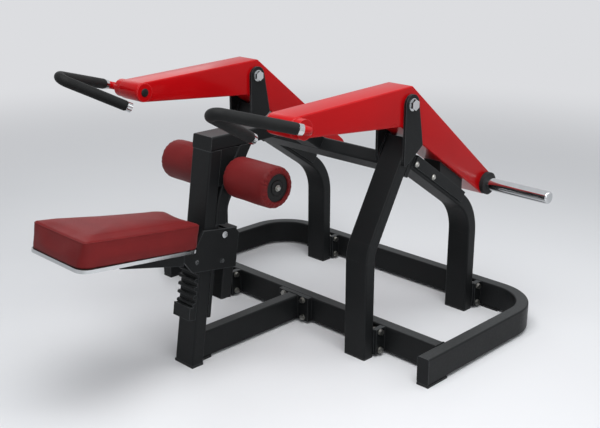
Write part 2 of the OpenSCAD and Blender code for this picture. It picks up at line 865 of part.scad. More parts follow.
module pivot_tube() {
  half_l = ear_gap / 2 - face_fit - 2;
  translate([arm_x, 0, 0]) at_side(pivot) difference() {
    pin_x(-half_l, half_l, pivot_tube_r);
    pin_x(-arm_w, arm_w, bush_r);
  }
}

// Flanged bushes, pressed in from both ends of the pivot tube
module pivot_bushes() {
  flange_out = ear_gap / 2 - face_fit;
  translate([arm_x, 0, 0]) at_side(pivot) for (s = [0, 1]) mirror([s, 0, 0]) difference() {
    union() {
      pin_x(flange_out - 2 - bush_l, flange_out - 2, bush_r);
      pin_x(flange_out - 2, flange_out, pivot_tube_r);
    }
    pin_x(0, arm_w, pivot_r + run_fit);
  }
}

module on_handle() {
  multmatrix([
    [handle_x.x, handle_y.x, handle_z.x, arm_x + handle_out],
    [handle_x.y, handle_y.y, handle_z.y, hub.x],
    [handle_x.z, handle_y.z, handle_z.z, hub.y]
  ]) children();
}

// Hub: a tube across the front of the arm with a ring in each end, and the bent neck that plugs into both rings
module grip_hub() {
  to_hub = [-handle_x.x, -handle_y.x, -handle_z.x];
  inner = -arm_w / 2 - hub_in;
  outer = arm_w / 2 + hub_out;
  translate([arm_x, 0, 0]) at_side(hub) difference() {
    pin_x(inner, outer, hub_r);
    pin_x(inner + hub_ring_l, outer - hub_ring_l, hub_r - hub_wall);
    pin_x(inner - 1, outer + 1, bar_r + hole_fit);
  }
  on_handle() rotate([0, 0, atan2(-to_hub.x, to_hub.y)]) translate([0, 0, ring_start]) mirror([0, 0, 1])
    bent(ring_start, handle_bend_r, acos(-to_hub.z), handle_out - inner) bar_profile();
}

// Bar of the V: up the outer leg, round the point and back, with a collar at each end of the grip
module handle_bar() {
  on_handle() {
    translate([0, 0, ring_start]) difference() {
      cylinder(h = ring_l, r = ring_r);
      translate([0, 0, -1]) cylinder(h = ring_l + 2, r = bar_r - ring_lap);
    }
    translate([0, 0, ring_start + ring_l / 2])
      bent(handle_l - ring_start - ring_l / 2, handle_tip_r, handle_turn, handle_return_l) bar_profile();
    translate([0, 0, handle_l]) rotate([-handle_turn, 0, 0]) translate([0, 0, handle_return_l - ring_l]) difference() {
      cylinder(h = ring_l + ring_end, r = ring_r);
      translate([0, 0, -1]) cylinder(h = ring_l, r = bar_r - ring_lap);
    }
  }
}

// Foam sleeve between the collars, with the bar's own path bored through it
module handle_grip() {
  start = ring_start + ring_l;
  on_handle() difference() {
    translate([0, 0, start])
      bent(handle_l - start, handle_tip_r, handle_turn, handle_return_l - ring_l) rod_profile(grip_r);
    translate([0, 0, ring_start])
      bent(handle_l - ring_start, handle_tip_r, handle_turn, handle_return_l) rod_profile(bar_r);
  }
}

// Horn turned from one bar: spindle through the arm, sleeve and tip with a rounded edge
module weight_horn() {
  sleeve = arm_w + collar_t;
  translate([arm_x - arm_w / 2, 0, 0]) at_side(horn) rotate([0, 90, 0]) rotate_extrude() {
    square([spindle_r, sleeve]);
    translate([0, sleeve]) square([horn_r, horn_l]);
    translate([0, sleeve + horn_l]) {
      square([horn_r - horn_tip_l, horn_tip_l]);
      translate([horn_r - horn_tip_l, 0]) circle(horn_tip_l);
    }
  }
}

module horn_collar() {
  translate([arm_x, 0, 0]) at_side(horn) difference() {
    pin_x(arm_w / 2, arm_w / 2 + collar_t, collar_r);
    pin_x(0, arm_w, spindle_r);
  }
}

module horn_bolt() {
  translate([arm_x - arm_w / 2, 0, 0]) at_side(horn) {
    pin_x(-washer_t, 0, spindle_r * 1.5);
    translate([-washer_t - bolt_head_h, 0, 0]) rotate([0, 90, 0]) cylinder(h = bolt_head_h, r = spindle_r, $fn = 6);
  }
}

module arm_right() {
  color(arm_col) arm();
}

module arm_left() {
  color(arm_col) left() arm();
}

module pivot_tube_right() {
  color(arm_col) pivot_tube();
}

module pivot_tube_left() {
  color(arm_col) left() pivot_tube();
}

module pivot_bushes_right() {
  color("#8a6a35") pivot_bushes();
}

module pivot_bushes_left() {
  color("#8a6a35") left() pivot_bushes();
}

module grip_hub_right() {
  color(arm_col) grip_hub();
}

module grip_hub_left() {
  color(arm_col) left() grip_hub();
}

module handle_bar_right() {
  color(chrome_col) handle_bar();
}

module handle_bar_left() {
  color(chrome_col) left() handle_bar();
}

module handle_grip_right() {
  color(rubber_col) handle_grip();
}

module handle_grip_left() {
  color(rubber_col) left() handle_grip();
}

module horn_right() {
  color(chrome_col) weight_horn();
}

module horn_left() {
  color(chrome_col) left() weight_horn();
}

module horn_collar_right() {
  color(rubber_col) horn_collar();
}

module horn_collar_left() {
  color(rubber_col) left() horn_collar();
}

module horn_bolt_right() {
  color(chrome_col) horn_bolt();
}

module horn_bolt_left() {
  color(chrome_col) left() horn_bolt();
}

// Thigh rollers, drawn on the right

module on_roller() {
  on_upright() translate([0, roller_vu.x, roller_vu.y]) children();
}

module roller_axle() {
  nut_l = 14;
  color(zinc_col) on_roller() {
    pin_x(-roller_out - face_fit, roller_out + face_fit, axle_r);
    for (s = [0, 1]) mirror([s, 0, 0]) {
      pin_x(tube_w / 2, collar_out, 1.7 * axle_r);
      translate([roller_out + face_fit, 0, 0]) rotate([0, 90, 0]) cylinder(h = nut_l, r = 1.3 * axle_r, $fn = 6);
    }
  }
}

// Stuffed sleeve with rounded shoulders and a sunk seat for the cap at each end
module roller_pad() {
  half_l = roller_l / 2;
  on_roller() translate([roller_in + half_l, 0, 0]) rotate([0, 90, 0]) rotate_extrude() difference() {
    union() {
      translate([core_r, -half_l]) square([roller_r - roller_end_r - core_r, roller_l]);
      translate([core_r, -half_l + roller_end_r]) square([roller_r - core_r, roller_l - 2 * roller_end_r]);
      for (s = [-1, 1]) translate([roller_r - roller_end_r, s * (half_l - roller_end_r)]) circle(roller_end_r);
    }
    for (s = [0, 1]) mirror([0, s]) translate([0, half_l - cap_t]) square([cap_r, cap_t + 1]);
  }
}

module roller_core() {
  on_roller() difference() {
    pin_x(roller_in, roller_out, core_r);
    pin_x(0, 2 * roller_out, axle_r + run_fit);
  }
}

module roller_caps() {
  on_roller() for (x = [roller_in, roller_out - cap_t]) difference() {
    pin_x(x, x + cap_t, cap_r);
    pin_x(0, 2 * roller_out, core_r);
  }
}

module roller_pad_right() {
  color(vinyl_col) roller_pad();
}

module roller_pad_left() {
  color(vinyl_col) left() roller_pad();
}

module roller_core_right() {
  color(zinc_col) roller_core();
}

module roller_core_left() {
  color(zinc_col) left() roller_core();
}

module roller_caps_right() {
  color(rubber_col) roller_caps();
}

module roller_caps_left() {
  color(rubber_col) left() roller_caps();
}

// Seat

seat_rear_v = -seat_gap;
seat_front_v = -seat_gap - seat_l;
seat_circles = [
  [[seat_front_w / 2 - seat_corner_r, seat_front_v + seat_corner_r], seat_corner_r],
  [[seat_rear_w / 2 - seat_corner_r, seat_rear_v - seat_corner_r], seat_corner_r],
  [[-seat_rear_w / 2 + seat_corner_r, seat_rear_v - seat_corner_r], seat_corner_r],
  [[-seat_front_w / 2 + seat_corner_r, seat_front_v + seat_corner_r], seat_corner_r]
];

module seat_rim() {
  color(chrome_col) on_upright() translate([0, 0, seat_u]) linear_extrude(rim_h) difference() {
    belt(seat_circles);
    belt(inset(seat_circles, rim_t));
  }
}

module seat_board() {
  color(rubber_col) on_upright() translate([0, 0, seat_u]) linear_extrude(rim_h)
    belt(inset(seat_circles, rim_t + hole_fit));
}

// Outline of the cushion: an arc of points at each corner
corner_steps = 11;
function corner_arc(a, b, c) =
  let (p = belt_edge(a, b)[1] - b[0], q = belt_edge(b, c)[0] - b[0], a0 = atan2(p.y, p.x), a1 = atan2(q.y, q.x),
    sweep = a1 > a0 ? a1 - a0 : a1 - a0 + 360)
  [for (i = [0:corner_steps]) b[0] + b[1] * [cos(a0 + sweep * i / corner_steps), sin(a0 + sweep * i / corner_steps)]];
function outline(c) = [for (i = [0:len(c) - 1]) each corner_arc(c[i], c[(i + 1) % len(c)], c[(i + 2) % len(c)])];

// Cushion with drawn-in sides and a crown: the outline shrinks by the law of a superellipse
module cushion(c, h, rings = 13, low = -20) {
  edge = outline(c);
  n = len(edge);
  mid = [0, (seat_front_v + seat_rear_v) / 2];
  half_h = h / (1 + pow(sin(-low), 2 / cushion_n));
  function height(a) = half_h * (sign(sin(a)) * pow(abs(sin(a)), 2 / cushion_n) + pow(sin(-low), 2 / cushion_n));
  angles = [for (j = [0:rings]) low + (88 - low) * j / rings];
  skin = [for (a = angles, p = edge) let (q = mid + (p - mid) * pow(cos(a), 2 / cushion_n)) [q.x, q.y, height(a)]];
  points = concat(skin, [[mid.x, mid.y, 0], [mid.x, mid.y, height(90)]]);
  foot = len(skin);
  function at(j, i) = j * n + i % n;
  sides = [for (j = [0:rings - 1], i = [0:n - 1]) each
    [[at(j, i), at(j + 1, i), at(j + 1, i + 1)], [at(j, i), at(j + 1, i + 1), at(j, i + 1)]]];
  lids = [for (i = [0:n - 1]) each
    [[foot, at(0, i), at(0, i + 1)], [foot + 1, at(rings, i + 1), at(rings, i)]]];
  polyhedron(points, concat(sides, lids));
}

module seat_pad() {
  color(vinyl_col) on_upright() translate([0, 0, seat_u + rim_h]) cushion(inset(seat_circles, rim_t), cushion_h);
}

// Box arm that carries the seat board: a neck between the carriage plates and a wider, tapered front
plates_front_v = latch_v - pin_r - 4 - seat_arm_h * 1.5;

module seat_arm_side(grow) {
  neck_v = latch_v - pin_r - 4;
  wide_v = plates_front_v - 3;
  end_v = neck_v - seat_arm_l;
  across(2 * side_in + 2 * grow) polygon([
    [neck_v + grow, seat_u - seat_arm_h - grow], [neck_v + grow, seat_u + grow],
    [wide_v - 2 * tube_wall, seat_u + grow], [wide_v - 2 * tube_wall, seat_u - seat_arm_h - grow]
  ]);
  across(seat_arm_w + 2 * grow) polygon([
    [wide_v + grow, seat_u - seat_arm_h - grow], [wide_v + grow, seat_u + grow],
    [end_v - grow, seat_u + grow], [end_v - grow, seat_u - seat_arm_h / 2 - grow]
  ]);
}

module seat_arm() {
  color(frame_col) on_upright() difference() {
    seat_arm_side(0);
    seat_arm_side(-tube_wall);
  }
}

// Side plates of the carriage, cut down in front to pass under the seat
module carriage_plates() {
  back_v = tail_v + tube_t / 2;
  chamfer = 18;
  color(frame_col) both() on_upright() translate([side_in + side_t / 2, 0, 0]) difference() {
    across(side_t) polygon([
      [plates_front_v, seat_u - seat_arm_h / 2], [latch_v - 2 * pin_r, carriage_low],
      [back_v, carriage_low], [back_v, carriage_top - chamfer], [back_v - chamfer, carriage_top],
      [latch_v + chamfer, carriage_top], [seat_rear_v + chamfer, seat_u - 1], [plates_front_v, seat_u - 1]
    ]);
    for (u = [glide_low_u, glide_high_u]) translate([0, glide_v, u]) pin_x(-side_t, side_t, pin_r + hole_fit);
    translate([0, latch_v, latch_u]) pin_x(-side_t, side_t, pin_r + hole_fit);
  }
}

// Tube that runs down behind the upright, as wide as the space between the side plates
module carriage_tail() {
  color(frame_col) on_upright() translate([0, tail_v, tail_low]) {
    tube_run(carriage_top - tail_low - tube_wall, 2 * side_in);
    tube_cap(2 * side_in);
    translate([0, 0, carriage_top - tail_low - tube_wall]) tube_cap(2 * side_in);
  }
}

// Round glides that ride on the guide bar
module seat_glides() {
  color(rubber_col) on_upright() for (u = [glide_low_u, glide_high_u]) translate([0, glide_v, u]) difference() {
    pin_x(-side_in, side_in, glide_r);
    pin_x(-side_out, side_out, pin_r);
  }
}

// Glide pins with round heads, and the bar that drops between the teeth of the rack
module carriage_pins() {
  head_t = 5;
  color(chrome_col) on_upright() {
    for (u = [glide_low_u, glide_high_u]) translate([0, glide_v, u]) {
      pin_x(-side_out, side_out, pin_r);
      for (s = [0, 1]) mirror([s, 0, 0]) pin_x(side_out, side_out + head_t, u == glide_high_u ? 1.5 * pin_r : pin_r);
    }
    translate([0, latch_v, latch_u]) pin_x(-side_out, side_out, pin_r);
  }
}

base_corner_left();
base_corner_right();
front_rail();
rear_rail();
centre_beam();
rail_plates();
post_plates();
centre_flanges();
frame_bolts();
floor_pads();
front_post_left();
front_post_right();
rear_strut_left();
rear_strut_right();
strut_flanges();
pivot_ears();
pivot_bolts();
cross_beam();
top_beam();
front_upright();
thigh_brace();
upright_gussets();
guide_bar();
seat_rack();
stop_saddles();
stop_bumpers();
roller_axle();
arm_left();
pivot_tube_left();
pivot_bushes_left();
grip_hub_left();
handle_bar_left();
handle_grip_left();
horn_left();
horn_collar_left();
horn_bolt_left();
arm_right();
pivot_tube_right();
pivot_bushes_right();
grip_hub_right();
handle_bar_right();
handle_grip_right();
horn_right();
horn_collar_right();
horn_bolt_right();
carriage_plates();
carriage_tail();
seat_glides();
carriage_pins();
seat_arm();
seat_board();
seat_rim();
seat_pad();
roller_pad_left();
roller_core_left();
roller_caps_left();
roller_pad_right();
roller_core_right();
roller_caps_right();
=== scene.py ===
import json
import math

import bpy
import bmesh
from mathutils import Matrix, Vector, noise
from mathutils.bvhtree import BVHTree


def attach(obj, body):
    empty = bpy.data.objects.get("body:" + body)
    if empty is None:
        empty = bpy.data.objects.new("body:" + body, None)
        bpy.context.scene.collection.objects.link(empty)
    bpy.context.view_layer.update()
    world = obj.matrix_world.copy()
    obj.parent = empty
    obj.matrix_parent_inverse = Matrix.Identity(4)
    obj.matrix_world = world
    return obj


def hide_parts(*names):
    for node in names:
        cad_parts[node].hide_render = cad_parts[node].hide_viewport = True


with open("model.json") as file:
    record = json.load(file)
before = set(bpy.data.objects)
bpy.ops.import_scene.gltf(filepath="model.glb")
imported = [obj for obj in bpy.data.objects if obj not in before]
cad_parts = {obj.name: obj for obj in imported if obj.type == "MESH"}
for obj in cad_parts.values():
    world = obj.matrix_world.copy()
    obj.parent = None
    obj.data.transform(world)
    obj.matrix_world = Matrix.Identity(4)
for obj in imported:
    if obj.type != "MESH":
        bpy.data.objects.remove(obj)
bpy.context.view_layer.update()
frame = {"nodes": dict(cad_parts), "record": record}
nodes = frame["nodes"]
mm = 0.001
print("frame loaded:", len(nodes), "nodes")


# Small helpers

def hexToLinear(code):
    channels = [int(code[i:i + 2], 16) / 255 for i in (1, 3, 5)]
    return [c / 12.92 if c <= 0.04045 else ((c + 0.055) / 1.055) ** 2.4 for c in channels] + [1.0]


def perMetre(sizeMm):
    return 1000 / sizeMm


def addNode(mat, kind, inputs=None, **settings):
    node = mat.node_tree.nodes.new(kind)
    for key, value in settings.items():
        setattr(node, key, value)
    for key, value in (inputs or {}).items():
        if isinstance(value, bpy.types.NodeSocket):
            mat.node_tree.links.new(value, node.inputs[key])
        else:
            node.inputs[key].default_value = value
    return node


def startMaterial(name, **sockets):
    mat = bpy.data.materials.new(name)
    mat.use_nodes = True
    shader = mat.node_tree.nodes["Principled BSDF"]
    for key, value in sockets.items():
        shader.inputs[key.replace("_", " ")].default_value = value
    place = addNode(mat, "ShaderNodeTexCoord").outputs["Object"]
    return mat, shader, place


def join(mat, source, target):
    mat.node_tree.links.new(source, target)


def dress(mat, shader, looks, colour, mask, height=None):
    # every finish closes alike: colour, a roughness that follows the mask, a bump from the height
    low, high = looks["roughness"]
    rough = addNode(mat, "ShaderNodeMapRange", {"Value": mask, "To Min": low, "To Max": high})
    join(mat, colour, shader.inputs["Base Color"])
    join(mat, rough.outputs[0], shader.inputs["Roughness"])
    if height is not None:
        bump = addNode(mat, "ShaderNodeBump",
                       {"Strength": looks["bump"], "Distance": looks["bumpMm"] * mm,
                        "Height": height})
        join(mat, bump.outputs[0], shader.inputs["Normal"])
    return mat


edgeGleam = {"samples": 6, "flat": 0.99, "turned": 0.9}


def edgeGleamAndWear(mat, tone, looks):
    # painted edge highlight, with the paint partly rubbed thin there: near the edges the tone goes
    # over to the lighter one
    soft = addNode(mat, "ShaderNodeBevel",
                   {"Radius": looks["edgeMm"] * mm}, samples=edgeGleam["samples"])
    true = addNode(mat, "ShaderNodeNewGeometry")
    turn = addNode(mat, "ShaderNodeVectorMath",
                   {0: soft.outputs[0], 1: true.outputs["Normal"]}, operation="DOT_PRODUCT")
    mask = addNode(mat, "ShaderNodeMapRange",
                   {"Value": turn.outputs["Value"], "From Min": edgeGleam["flat"],
                    "From Max": edgeGleam["turned"], "To Max": looks["gleamAndWearShare"]})
    mixed = addNode(mat, "ShaderNodeMix",
                    {0: mask.outputs[0], 6: tone, 7: hexToLinear(looks["lighter"])}, data_type="RGBA")
    return mixed.outputs[2]


# Materials

# the pale grey edge tone is a painted highlight along the edges, partly rubbed-thin paint; the
# tone for faces that point up is painted top light
powderCoat = {"dark": "#101112", "light": "#191b1c", "lighter": "#5a5d5f", "litTops": "#5f6263",
              "cloudMm": 140, "peelMm": 2.6, "blotchMm": 9, "edgeMm": 3, "litTopsShare": 0.5,
              "gleamAndWearShare": 0.55, "levelAt": 0.8, "roughness": (0.36, 0.56), "bump": 0.22,
              "bumpMm": 0.4}


def makePowderCoat():
    # polyester powder, sprayed and baked: satin charcoal with a fine pebbled skin
    mat, shader, place = startMaterial("charcoalPowderCoat", Specular_IOR_Level=0.15)
    cloud = addNode(mat, "ShaderNodeTexNoise",
                    {"Vector": place, "Scale": perMetre(powderCoat["cloudMm"]), "Detail": 4})
    peel = addNode(mat, "ShaderNodeTexNoise",
                   {"Vector": place, "Scale": perMetre(powderCoat["peelMm"]), "Detail": 2})
    blotch = addNode(mat, "ShaderNodeTexNoise",
                   {"Vector": place, "Scale": perMetre(powderCoat["blotchMm"]), "Detail": 3})
    tone = addNode(mat, "ShaderNodeMix", data_type="RGBA", inputs={
        0: cloud.outputs["Fac"],
        6: hexToLinear(powderCoat["dark"]), 7: hexToLinear(powderCoat["light"])})
    # painted edge highlight, partly rubbed paint
    edged = edgeGleamAndWear(mat, tone.outputs[2], powderCoat)
    # painted top light: faces that point up are painted lighter, in blotches
    surface = addNode(mat, "ShaderNodeNewGeometry")
    facing = addNode(mat, "ShaderNodeSeparateXYZ", {0: surface.outputs["Normal"]})
    level = addNode(mat, "ShaderNodeMapRange",
                    {"Value": facing.outputs["Z"], "From Min": powderCoat["levelAt"],
                     "To Max": powderCoat["litTopsShare"]})
    litTops = addNode(mat, "ShaderNodeMath",
                      {0: level.outputs[0], 1: blotch.outputs["Fac"]}, operation="MULTIPLY")
    withLitTops = addNode(mat, "ShaderNodeMix",
                     {0: litTops.outputs[0], 6: edged, 7: hexToLinear(powderCoat["litTops"])},
                     data_type="RGBA")
    return dress(mat, shader, powderCoat, withLitTops.outputs[2],
                 blotch.outputs["Fac"], peel.outputs["Fac"])


# the pale pink edge tone is a painted highlight along the edges, partly rubbed-thin paint
redEnamel = {"deep": "#9e0409", "bright": "#b3060d", "lighter": "#e2565a", "cloudMm": 180,
             "peelMm": 7, "edgeMm": 3, "gleamAndWearShare": 0.6, "roughness": (0.24, 0.36), "bump": 0.06,
             "bumpMm": 0.3}


def makeRedEnamel():
    # two-pack enamel over steel plate: deep gloss with a slight orange peel
    mat, shader, place = startMaterial("redEnamel", Specular_IOR_Level=0.1,
                                       Coat_Weight=0.12, Coat_Roughness=0.1)
    cloud = addNode(mat, "ShaderNodeTexNoise",
                    {"Vector": place, "Scale": perMetre(redEnamel["cloudMm"]), "Detail": 3})
    peel = addNode(mat, "ShaderNodeTexNoise",
                   {"Vector": place, "Scale": perMetre(redEnamel["peelMm"]), "Detail": 1})
    tone = addNode(mat, "ShaderNodeMix", data_type="RGBA", inputs={
        0: cloud.outputs["Fac"],
        6: hexToLinear(redEnamel["deep"]), 7: hexToLinear(redEnamel["bright"])})
    # painted edge highlight, partly rubbed paint
    edged = edgeGleamAndWear(mat, tone.outputs[2], redEnamel)
    return dress(mat, shader, redEnamel, edged, cloud.outputs["Fac"], peel.outputs["Fac"])


maroonVinyl = {"shade": "#5c1113", "lit": "#721a1b", "cloudMm": 70, "grainMm": 2.4, "poreMm": 0.9,
               "creaseAt": 0.18, "poreShare": 0.35, "roughness": (0.62, 0.47), "bump": 0.3,
               "bumpMm": 0.35}


def makeMaroonVinyl():
    # embossed upholstery vinyl: soft sheen and a pebble grain, drawn about twice as coarse as
    # the real one so that it shows
    mat, shader, place = startMaterial("maroonVinyl", Specular_IOR_Level=0.17,
                                       Sheen_Weight=0.02, Sheen_Roughness=0.5)
    cloud = addNode(mat, "ShaderNodeTexNoise",
                    {"Vector": place, "Scale": perMetre(maroonVinyl["cloudMm"]), "Detail": 4})
    grain = addNode(mat, "ShaderNodeTexVoronoi",
                    {"Vector": place, "Scale": perMetre(maroonVinyl["grainMm"])},
                    feature="DISTANCE_TO_EDGE")
    pore = addNode(mat, "ShaderNodeTexNoise",
                   {"Vector": place, "Scale": perMetre(maroonVinyl["poreMm"]), "Detail": 2})
    crease = addNode(mat, "ShaderNodeMapRange",
                     {"Value": grain.outputs["Distance"], "From Max": maroonVinyl["creaseAt"]})
    tone = addNode(mat, "ShaderNodeMix", data_type="RGBA", inputs={
        0: cloud.outputs["Fac"],
        6: hexToLinear(maroonVinyl["shade"]), 7: hexToLinear(maroonVinyl["lit"])})
    height = addNode(mat, "ShaderNodeMath",
                     {0: pore.outputs["Fac"], 1: maroonVinyl["poreShare"], 2: crease.outputs[0]},
                     operation="MULTIPLY_ADD")
    return dress(mat, shader, maroonVinyl, tone.outputs[2], crease.outputs[0], height.outputs[0])


chromePlate = {"bright": "#d6d8d9", "grey": "#c2c4c6", "hazeMm": 35, "roughness": (0.06, 0.17)}


def makeChromePlate():
    # polished nickel-chrome: mirror bright, with a little handling haze
    mat, shader, place = startMaterial("chromePlate", Metallic=1.0)
    haze = addNode(mat, "ShaderNodeTexNoise",
                   {"Vector": place, "Scale": perMetre(chromePlate["hazeMm"]), "Detail": 5})
    tone = addNode(mat, "ShaderNodeMix", data_type="RGBA", inputs={
        0: haze.outputs["Fac"],
        6: hexToLinear(chromePlate["grey"]), 7: hexToLinear(chromePlate["bright"])})
    return dress(mat, shader, chromePlate, tone.outputs[2], haze.outputs["Fac"])


zincPlate = {"cold": "#97999a", "warm": "#a3a096", "cloudMm": 12, "grainMm": 1.5,
             "roughness": (0.26, 0.42)}


def makeZincPlate():
    # bright zinc with a faint yellow passivate: satin metal, grain drawn coarse so that it shows
    mat, shader, place = startMaterial("zincPlate", Metallic=1.0)
    cloud = addNode(mat, "ShaderNodeTexNoise",
                    {"Vector": place, "Scale": perMetre(zincPlate["cloudMm"]), "Detail": 3})
    grain = addNode(mat, "ShaderNodeTexNoise",
                    {"Vector": place, "Scale": perMetre(zincPlate["grainMm"]), "Detail": 2})
    tone = addNode(mat, "ShaderNodeMix", data_type="RGBA", inputs={
        0: cloud.outputs["Fac"],
        6: hexToLinear(zincPlate["cold"]), 7: hexToLinear(zincPlate["warm"])})
    return dress(mat, shader, zincPlate, tone.outputs[2], grain.outputs["Fac"])


blackRubber = {"dark": "#111213", "dusty": "#1d1e1f", "blotchMm": 30, "grainMm": 1.6,
               "roughness": (0.62, 0.82), "bump": 0.2, "bumpMm": 0.25}


def makeBlackRubber():
    # moulded rubber: dull black with a dusty bloom, its grain drawn coarse so that it shows
    mat, shader, place = startMaterial("blackRubber", Specular_IOR_Level=0.35)
    blotch = addNode(mat, "ShaderNodeTexNoise",
                   {"Vector": place, "Scale": perMetre(blackRubber["blotchMm"]), "Detail": 5})
    grain = addNode(mat, "ShaderNodeTexNoise",
                    {"Vector": place, "Scale": perMetre(blackRubber["grainMm"]), "Detail": 2})
    tone = addNode(mat, "ShaderNodeMix", data_type="RGBA", inputs={
        0: blotch.outputs["Fac"],
        6: hexToLinear(blackRubber["dark"]), 7: hexToLinear(blackRubber["dusty"])})
    return dress(mat, shader, blackRubber, tone.outputs[2],
                 blotch.outputs["Fac"], grain.outputs["Fac"])


gripFoam = {"dark": "#0e0f10", "lighter": "#191a1a", "cellMm": 1.7, "wearMm": 45,
            "roughness": (0.7, 0.55), "bump": 0.35, "bumpMm": 0.35}


def makeGripFoam():
    # closed-cell nitrile foam: matte, with cut cells at the skin, drawn coarse so that they show
    mat, shader, place = startMaterial("gripFoam", Specular_IOR_Level=0.15,
                                       Sheen_Weight=0.02, Sheen_Roughness=0.6)
    wear = addNode(mat, "ShaderNodeTexNoise",
                   {"Vector": place, "Scale": perMetre(gripFoam["wearMm"]), "Detail": 4})
    cell = addNode(mat, "ShaderNodeTexVoronoi",
                   {"Vector": place, "Scale": perMetre(gripFoam["cellMm"])})
    tone = addNode(mat, "ShaderNodeMix", data_type="RGBA", inputs={
        0: wear.outputs["Fac"],
        6: hexToLinear(gripFoam["dark"]), 7: hexToLinear(gripFoam["lighter"])})
    return dress(mat, shader, gripFoam, tone.outputs[2],
                 wear.outputs["Fac"], cell.outputs["Distance"])


blackNylon = {"dark": "#0c0d0d", "light": "#141515", "sparkMm": 1.2, "roughness": (0.4, 0.55),
              "bump": 0.15, "bumpMm": 0.2}


def makeBlackNylon():
    # injection-moulded nylon: satin black, spark-eroded texture drawn coarse so that it shows
    mat, shader, place = startMaterial("blackNylon", Specular_IOR_Level=0.25)
    spark = addNode(mat, "ShaderNodeTexNoise",
                    {"Vector": place, "Scale": perMetre(blackNylon["sparkMm"]), "Detail": 2})
    tone = addNode(mat, "ShaderNodeMix", data_type="RGBA", inputs={
        0: spark.outputs["Fac"],
        6: hexToLinear(blackNylon["dark"]), 7: hexToLinear(blackNylon["light"])})
    return dress(mat, shader, blackNylon, tone.outputs[2],
                 spark.outputs["Fac"], spark.outputs["Fac"])


oilBronze = {"clean": "#9a763c", "oiled": "#5f4826", "cloudMm": 8, "roughness": (0.3, 0.5)}


def makeOilBronze():
    # sintered bronze, dark where oil has seeped
    mat, shader, place = startMaterial("oilBronze", Metallic=1.0)
    cloud = addNode(mat, "ShaderNodeTexNoise",
                    {"Vector": place, "Scale": perMetre(oilBronze["cloudMm"]), "Detail": 4})
    tone = addNode(mat, "ShaderNodeMix", data_type="RGBA", inputs={
        0: cloud.outputs["Fac"],
        6: hexToLinear(oilBronze["oiled"]), 7: hexToLinear(oilBronze["clean"])})
    return dress(mat, shader, oilBronze, tone.outputs[2], cloud.outputs["Fac"])


stainedPly = {"dark": "#1c1713", "light": "#33281f", "grainMm": 5, "stretch": 14,
              "roughness": (0.55, 0.75), "bump": 0.2, "bumpMm": 0.3}


def makeStainedPly():
    # birch plywood stained black: long grain that shows as fine streaks
    mat, shader, place = startMaterial("stainedPly", Specular_IOR_Level=0.3)
    along = addNode(mat, "ShaderNodeMapping",
                    {"Vector": place, "Scale": (stainedPly["stretch"], 1, 1)})
    grain = addNode(mat, "ShaderNodeTexNoise",
                    {"Vector": along.outputs[0], "Detail": 5,
                     "Scale": perMetre(stainedPly["grainMm"]) / stainedPly["stretch"]})
    tone = addNode(mat, "ShaderNodeMix", data_type="RGBA", inputs={
        0: grain.outputs["Fac"],
        6: hexToLinear(stainedPly["dark"]), 7: hexToLinear(stainedPly["light"])})
    return dress(mat, shader, stainedPly, tone.outputs[2],
                 grain.outputs["Fac"], grain.outputs["Fac"])


finishes = {
    "frame_paint": makePowderCoat(), "arm_paint": makeRedEnamel(), "vinyl": makeMaroonVinyl(),
    "chrome": makeChromePlate(), "zinc_steel": makeZincPlate(), "rubber": makeBlackRubber(),
    "grip_foam": makeGripFoam(), "black_plastic": makeBlackNylon(), "bush_bronze": makeOilBronze(),
    "seat_ply": makeStainedPly(),
}
for part in frame["record"]["subparts"]:
    data = nodes[part["node"]].data
    data.materials.clear()
    data.materials.append(finishes[part["material_slot"]])
print("materials:", len(finishes))


# Mesh helpers

def newPiece(name, mesh, slotName):
    piece = bpy.data.objects.new(name, mesh)
    bpy.context.scene.collection.objects.link(piece)
    mesh.materials.clear()
    mesh.materials.append(finishes[slotName])
    return piece


def meshFrom(name, points, faces, smooth=True):
    mesh = bpy.data.meshes.new(name)
    mesh.from_pydata([tuple(p) for p in points], [], faces)
    mesh.validate()
    for face in mesh.polygons:
        face.use_smooth = smooth
    return mesh


def frozen(piece):
    # the piece's mesh with its modifiers applied
    graph = bpy.context.evaluated_depsgraph_get()
    made = bpy.data.meshes.new_from_object(piece.evaluated_get(graph))
    piece.modifiers.clear()
    piece.data = made
    return made


def stitchRings(count, sides, closed=False):
    faces = []
    for j in range(count if closed else count - 1):
        k = (j + 1) % count
        for i in range(sides):
            n = (i + 1) % sides
            faces.append((j * sides + i, j * sides + n, k * sides + n, k * sides + i))
    return faces


def spun(profile, sides):
    # rings of points about X, from (x, radius)
    angles = [2 * math.pi * i / sides for i in range(sides)]
    return [Vector((x, r * math.cos(a), r * math.sin(a))) for x, r in profile for a in angles]


def gather(parts):
    # several (points, faces) lists as one
    points, faces = [], []
    for some, skin in parts:
        first = len(points)
        points += some
        faces += [tuple(first + v for v in f) for f in skin]
    return points, faces


def flipped(part):
    points, faces = part
    return [Vector((-p.x, p.y, p.z)) for p in points], [tuple(reversed(f)) for f in faces]


def bothSides(points, faces):
    # the right-hand form and its mirror image
    return (("Right", points, faces), ("Left", *flipped((points, faces))))


def faceOut(mesh, mergeMm=0):
    # merges points that coincide and turns every face outward
    form = bmesh.new()
    form.from_mesh(mesh)
    if mergeMm:
        bmesh.ops.remove_doubles(form, verts=form.verts, dist=mergeMm * mm)
    bmesh.ops.recalc_face_normals(form, faces=form.faces)
    form.to_mesh(mesh)
    form.free()


fabric = {"tension": 30, "compression": 30, "shear": 15, "bending": 2, "frames": 20}


